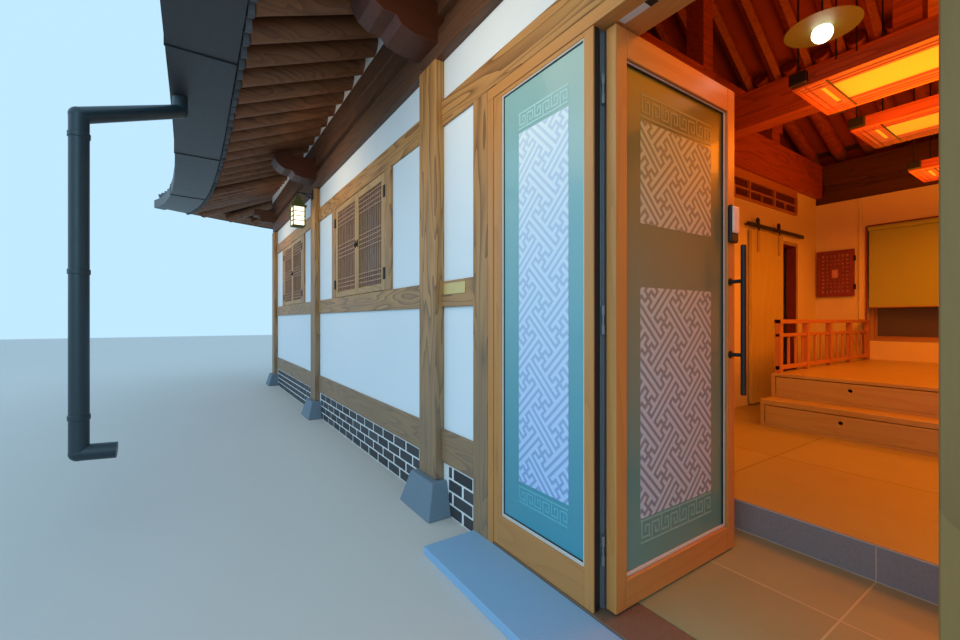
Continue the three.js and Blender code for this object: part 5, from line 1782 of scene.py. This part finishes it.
        rims, bars, panels, blocks, hangers, ties, shadow_lines = [], [], [], [], [], [], []
        for y in (-0.8, 0.15, 1.6):
            y_panel, y_bars = about(y, half - rim), about(y, inner)
            rims += frame_of((x0, x1), about(y, half), (z0, z1), rim)
            panels.append((x_panel, y_panel, (z0 + 0.02, z0 + 0.03)))
            bars += grid(y, (0.028, 0.062, 0.118), (0.014, 0.048, 0.082), bar, 0.0135,
                         (z0 + 0.002, z0 + 0.0195), (z0 + 0.004, z0 + 0.0197))
            ties += [((x, x + 0.008), y_bars, (z0 - 0.002, z0 + 0.0015)) for x in (x0 + 0.15, x1 - 0.156)]
            # Dark strips in the gaps between the bars: painted shade.
            shadow_lines += grid(y, (0.0545, 0.0255), (0.031, 0.065), shadow_line_width, shadow_line_width / 2,
                          (z0 - 0.0005, z0 + 0.0017), (z0 - 0.0002, z0 + 0.0019))
            for x in (x0 + 0.04, x1 - 0.04):
                for side in SIDES:
                    corner = y + side * (half + 0.02)
                    blocks.append((about(x, 0.04), (corner - 0.0195, corner + 0.03), (z0 + 0.01, z1 - 0.005)))
                    hangers.append(((x, corner, z1 - 0.01), (x, corner, ceiling_z(x, corner) - 0.02)))
        lay("lamp_rims", rims, "beam_x")
        lay("lamp_bars", bars, "lamp_wood", 0.001)
        lay("lamp_ties", ties, "dark_metal", 0)
        lay("lamp_shadow_lines", shadow_lines, "hatch_x", 0)
        lay("lamp_panels", panels, "lamp", 0)
        lay("lamp_blocks", blocks, "dark_metal")
        lay_rods("lamp_rods", hangers, 0.005, 8, "dark_metal")

    def pendants(self):
        """Two shallow cones, each with a bulb, on a straight rod."""
        spots = ((2.83, -1.65, 2.3), (3.3, 1.1, 2.2))
        depth, play = 0.02, 0.02
        middles = [(x, y, z + depth / 2) for x, y, z in spots]
        shades = many("pendant_discs", bpy.ops.mesh.primitive_cone_add, middles, vertices=48, radius1=0.137,
                      radius2=0.04, depth=depth)
        ease(shades, 0.002)
        smooth(shades)
        hand_over(shades, "brass")
        below = [(x, y, z - 0.022) for x, y, z in spots]
        bulbs = many("pendant_bulbs", bpy.ops.mesh.primitive_uv_sphere_add, below, segments=24, ring_count=16,
                     radius=0.038)
        smooth(bulbs)
        hand_over(bulbs, "bulb")
        routes = [((x, y, z + depth), (x, y, ceiling_z(x, y) - play)) for x, y, z in spots]
        lay_rods("pendant_rods", routes, 0.004, 8, "dark_metal")

    def hatch(self):
        """A shut lattice hatch with a framed opening in its middle, on the rear wall."""
        y = self.rear_y
        x0, x1, z0, z1, border = 1.437, 1.8, 1.33, 1.886, 0.048
        y_frame, y_ring = (y - 0.03, y), (y - 0.0235, y - 0.008)
        y_upright, y_level = (y - 0.022, y - 0.008), (y - 0.021, y - 0.0075)
        left, right, low, high = x0 + border, x1 - border, z0 + border, z1 - border
        middle_x, middle_z, pane_x, pane_z = (x0 + x1) / 2, (z0 + z1) / 2, 0.042, 0.06
        bars = [((x0, x1), y_frame, (high, z1)), ((x0, x1), y_frame, (z0, low)),
                ((x0, left), y_frame, (low, high)), ((right, x1), y_frame, (low, high))]
        columns, rows = 7, 10
        for i in range(1, columns):
            x = left + (right - left) * i / columns
            gaps = [about(middle_z, pane_z)] if abs(x - middle_x) < pane_x else []
            bars += [(about(x, 0.009), y_upright, part) for part in reversed(spans(low, high, gaps))]
        for i in range(1, rows):
            z = low + (high - low) * i / rows
            gaps = [about(middle_x, pane_x)] if abs(z - middle_z) < pane_z else []
            bars += [(part, y_level, about(z, 0.012)) for part in spans(left, right, gaps)]
        for side in SIDES:
            bars.append((about(middle_x + side * pane_x, 0.008), y_ring, about(middle_z, pane_z)))
            bars.append((about(middle_x, pane_x), y_ring, about(middle_z + side * pane_z, 0.008)))
        lay("hatch_lattice", bars, "hatch_z", 0.001)
        hinges = [((x1 - 0.004, x1 + 0.016), (y - 0.036, y - 0.02), about(z, 0.03)) for z in (1.44, 1.775)]
        lay("hatch_hinges", hinges, "iron", 0.001)
        paper = [((left - 0.01, right + 0.01), (y - 0.007, y), (low - 0.01, high + 0.01))]
        lay("hatch_paper", paper, "paper", 0)

    def window_wall(self):
        """The wall's edge beside the hall window, the thin trim round it and its roller blind."""
        y = self.rear_y
        edge = [((1.838, 1.872), (y - 0.014, y), (0.61, 2.46))]
        lay("wall_edge", edge, "plaster", 0.002)
        y_trim = (y - 0.016, y)
        trim = [((1.9, 1.914), y_trim, (0.95, 2.128)), ((1.9145, 3.59), y_trim, (2.12, 2.134))]
        lay("blind_trim", trim, "hatch_z", 0.001)
        x0, x1, low, high = 1.93, 3.57, 1.2, 2.09
        blind = [((x0, x1), (y - 0.006, y - 0.003), (low, high))]
        lay("window_blind", blind, "blind", 0)
        roll = [((x0, y - 0.03, high), (x1, y - 0.03, high))]
        lay_rods("blind_rolls", roll, 0.026, 20, "blind", 0.003)
        foot = [((x0, y - 0.005, 1.195), (x1, y - 0.005, 1.195))]
        lay_rods("blind_foot", foot, 0.008, 12, "sash_x", 0.002)


def frame_of(x_range, y_range, z_range, width):
    """Four level bars round a rectangle, seen from above: the two long ones along X first."""
    (x0, x1), (y0, y1) = x_range, y_range
    return [(x_range, (y0, y0 + width), z_range), (x_range, (y1 - width, y1), z_range),
            ((x0, x0 + width), (y0 + width, y1 - width), z_range),
            ((x1 - width, x1), (y0 + width, y1 - width), z_range)]


class HANOK_OT_lantern(bpy.types.Operator):
    """Lantern on the column between the front windows"""

    bl_idname = "hanok.lantern"
    bl_label = "Wall lantern"

    x, y = -BAY / 2, -2.95
    low, high, arm = 2.05, 2.36, 2.42
    half, foot, bar_half = 0.064, 0.012, 0.004
    column_face = -2.8

    def execute(self, context):
        self.glass_and_cage()
        self.bracket()
        self.ring()
        return {"FINISHED"}

    def glass_and_cage(self):
        """A lit glass box in a cage of bars, under a cap of four steps."""
        x, y, half = self.x, self.y, self.half
        base, shoulder = self.low + self.foot, self.high - 0.105
        glass = [(about(x, half - 0.008), about(y, half - 0.008), (base, shoulder))]
        lay("lantern_glass", glass, "lantern", 0.002, nodes=["wall_lantern"])
        cage = [(about(x, half), about(y, half), (self.low, base))]
        for reach, low, rise in ((0.076, shoulder, 0.022), (0.056, shoulder + 0.022, 0.03),
                                 (0.042, shoulder + 0.052, 0.03), (0.026, shoulder + 0.082, 0.037)):
            cage.append((about(x, reach), about(y, reach), (low, low + rise)))
        for sx, sy in CORNERS:
            corner_x, corner_y = x + sx * (half - 0.006), y + sy * (half - 0.006)
            cage.append((about(corner_x, 0.006), about(corner_y, 0.006), (base, shoulder)))
        span_x, span_y = about(x, half - 0.012), about(y, half - 0.012)
        for i in range(1, 4):
            z_range = about(base + (shoulder - base) * i / 4, self.bar_half)
            for s in SIDES:
                cage.append((about(x + s * (half - 0.005), self.bar_half), span_y, z_range))
                cage.append((span_x, about(y + s * (half - 0.005), self.bar_half), z_range))
        lay("lantern_cage", cage, "brass", 0.0015)

    def bracket(self):
        """A plate on the column, an arm with its brace, and the rod on which the lantern hangs."""
        x, y, arm = self.x, self.y, self.arm
        plate = [(about(x, 0.03), (-2.812, self.column_face), (arm - 0.06, arm + 0.04))]
        lay("lantern_plate", plate, "dark_metal", 0.002)
        start = -2.81
        arms = [((x, start, arm), (x, y - 0.01, arm)), ((x, y, arm), (x, y, self.high + 0.012)),
                ((x, start, arm - 0.045), (x, y + 0.04, arm))]
        lay_rods("lantern_arm", arms, 0.006, 12, "dark_metal")

    def ring(self):
        deselect()
        bpy.ops.mesh.primitive_torus_add(location=(self.x, self.y, self.high + 0.032),
                                         rotation=(math.pi / 2, 0, 0), major_radius=0.02, minor_radius=0.003,
                                         major_segments=24, minor_segments=8)
        ring = settle(bpy.context.object)
        ring.name = "lantern_ring"
        smooth(ring)
        hand_over(ring, "brass")


class HANOK_OT_stage(bpy.types.Operator):
    """Floor, camera and soft lights"""

    bl_idname = "hanok.stage"
    bl_label = "Studio"

    camera_place = (3.545, -3.894, 1.05)
    camera_aim = (-0.8309, 0.5565, 0.0)
    camera_lens = 16.125
    camera_sensor = 36.0
    lamp_spots = ((3.0, -0.5, 2.25, 1.0), (2.9, 1.3, 2.2, 1.0), (3.0, -1.9, 2.3, 0.25))

    def execute(self, context):
        colours = context.scene.hanok_colours
        self.camera(context)
        self.floor()
        self.sky(context, colours)
        self.inside(colours)
        return {"FINISHED"}

    def camera(self, context):
        bpy.ops.object.camera_add(location=self.camera_place)
        camera = bpy.context.object
        camera.rotation_euler = Vector(self.camera_aim).to_track_quat("-Z", "Y").to_euler()
        camera.data.sensor_width = self.camera_sensor
        camera.data.lens = self.camera_lens
        camera.data.clip_start = 0.05
        context.scene.camera = camera

    def floor(self):
        deselect()
        bpy.ops.mesh.primitive_plane_add(size=60, location=(0, 0, -0.0005))
        floor = settle(bpy.context.object)
        floor.name = "studio_floor"
        coat(floor, "stage")

    def sky(self, context, colours):
        """The light all round, a broad light over the front, one at the door and three under the eaves."""
        context.scene.view_settings.view_transform = "Standard"
        world = bpy.data.worlds.new("studio")
        context.scene.world = world
        world.use_nodes = True
        background = world.node_tree.nodes["Background"]
        background.inputs["Color"].default_value = rgba(colours.sky)
        background.inputs["Strength"].default_value = colours.sky_strength
        self.area("sky_key", (-3.0, -11.0, 5.0), (-0.5, -2.7, 1.2), 9.0, 110.0, (0.6, 0.8, 1.0))
        self.area("door_fill", (5.0, -5.6, 2.6), (2.6, -2.3, 1.0), 2.8, 46.0, (0.62, 0.95, 1.0))
        for i, x in enumerate((-3.2, -0.4, 2.0)):
            place, target = (x, -3.45, 2.3), (x, -2.75, 2.0)
            self.area(f"eave_light_{i}", place, target, 0.8, colours.eave_power, tuple(colours.eave_lamp))

    def inside(self, colours):
        """A warm light down and one up at each lamp, with its share of the power."""
        size, beam_share, colour = 0.9, 0.85, tuple(colours.lamp)
        for i, (x, y, z, share) in enumerate(self.lamp_spots):
            power = colours.lamp_power * share
            self.area(f"lamp_light_{i}", (x, y, z), (x, y, 0.0), size, power, colour)
            self.area(f"beam_light_{i}", (x, y, 2.1), (x, y, 4.0), size, power * beam_share, colour)

    def area(self, name, place, target, size, power, colour):
        bpy.ops.object.light_add(type="AREA", location=place)
        light = bpy.context.object
        light.name = name
        light.rotation_euler = (Vector(target) - Vector(place)).to_track_quat("-Z", "Y").to_euler()
        light.data.size = size
        light.data.energy = power
        light.data.color = colour


class HANOK_PT_panel(bpy.types.Panel):
    """Lists the operators in the order in which they dress the house"""

    bl_idname = "HANOK_PT_panel"
    bl_label = "Hanok house"
    bl_space_type = "VIEW_3D"
    bl_region_type = "UI"
    bl_category = "Hanok"

    def draw(self, context):
        for operator in OPERATORS:
            self.layout.operator(operator.bl_idname)
        for name in HANOK_PG_sizes.__annotations__:
            self.layout.prop(context.scene.hanok_sizes, name)
        for name in HANOK_PG_colours.__annotations__:
            self.layout.prop(context.scene.hanok_colours, name)


OPERATORS = (
    HANOK_OT_stage, HANOK_OT_timber, HANOK_OT_masonry, HANOK_OT_windows, HANOK_OT_entrance,
    HANOK_OT_carpentry, HANOK_OT_roof, HANOK_OT_hall, HANOK_OT_lantern,
)
CLASSES = (HANOK_PG_colours, HANOK_PG_sizes, *OPERATORS, HANOK_PT_panel)


def register():
    for item in CLASSES:
        bpy.utils.register_class(item)
    bpy.types.Scene.hanok_colours = bpy.props.PointerProperty(type=HANOK_PG_colours)
    bpy.types.Scene.hanok_sizes = bpy.props.PointerProperty(type=HANOK_PG_sizes)


def unregister():
    del bpy.types.Scene.hanok_sizes
    del bpy.types.Scene.hanok_colours
    for item in reversed(CLASSES):
        bpy.utils.unregister_class(item)


def main():
    register()
    make_looks()
    for operator in OPERATORS:
        group, name = operator.bl_idname.split(".")
        getattr(getattr(bpy.ops, group), name)()


if __name__ == "__main__":
    main()
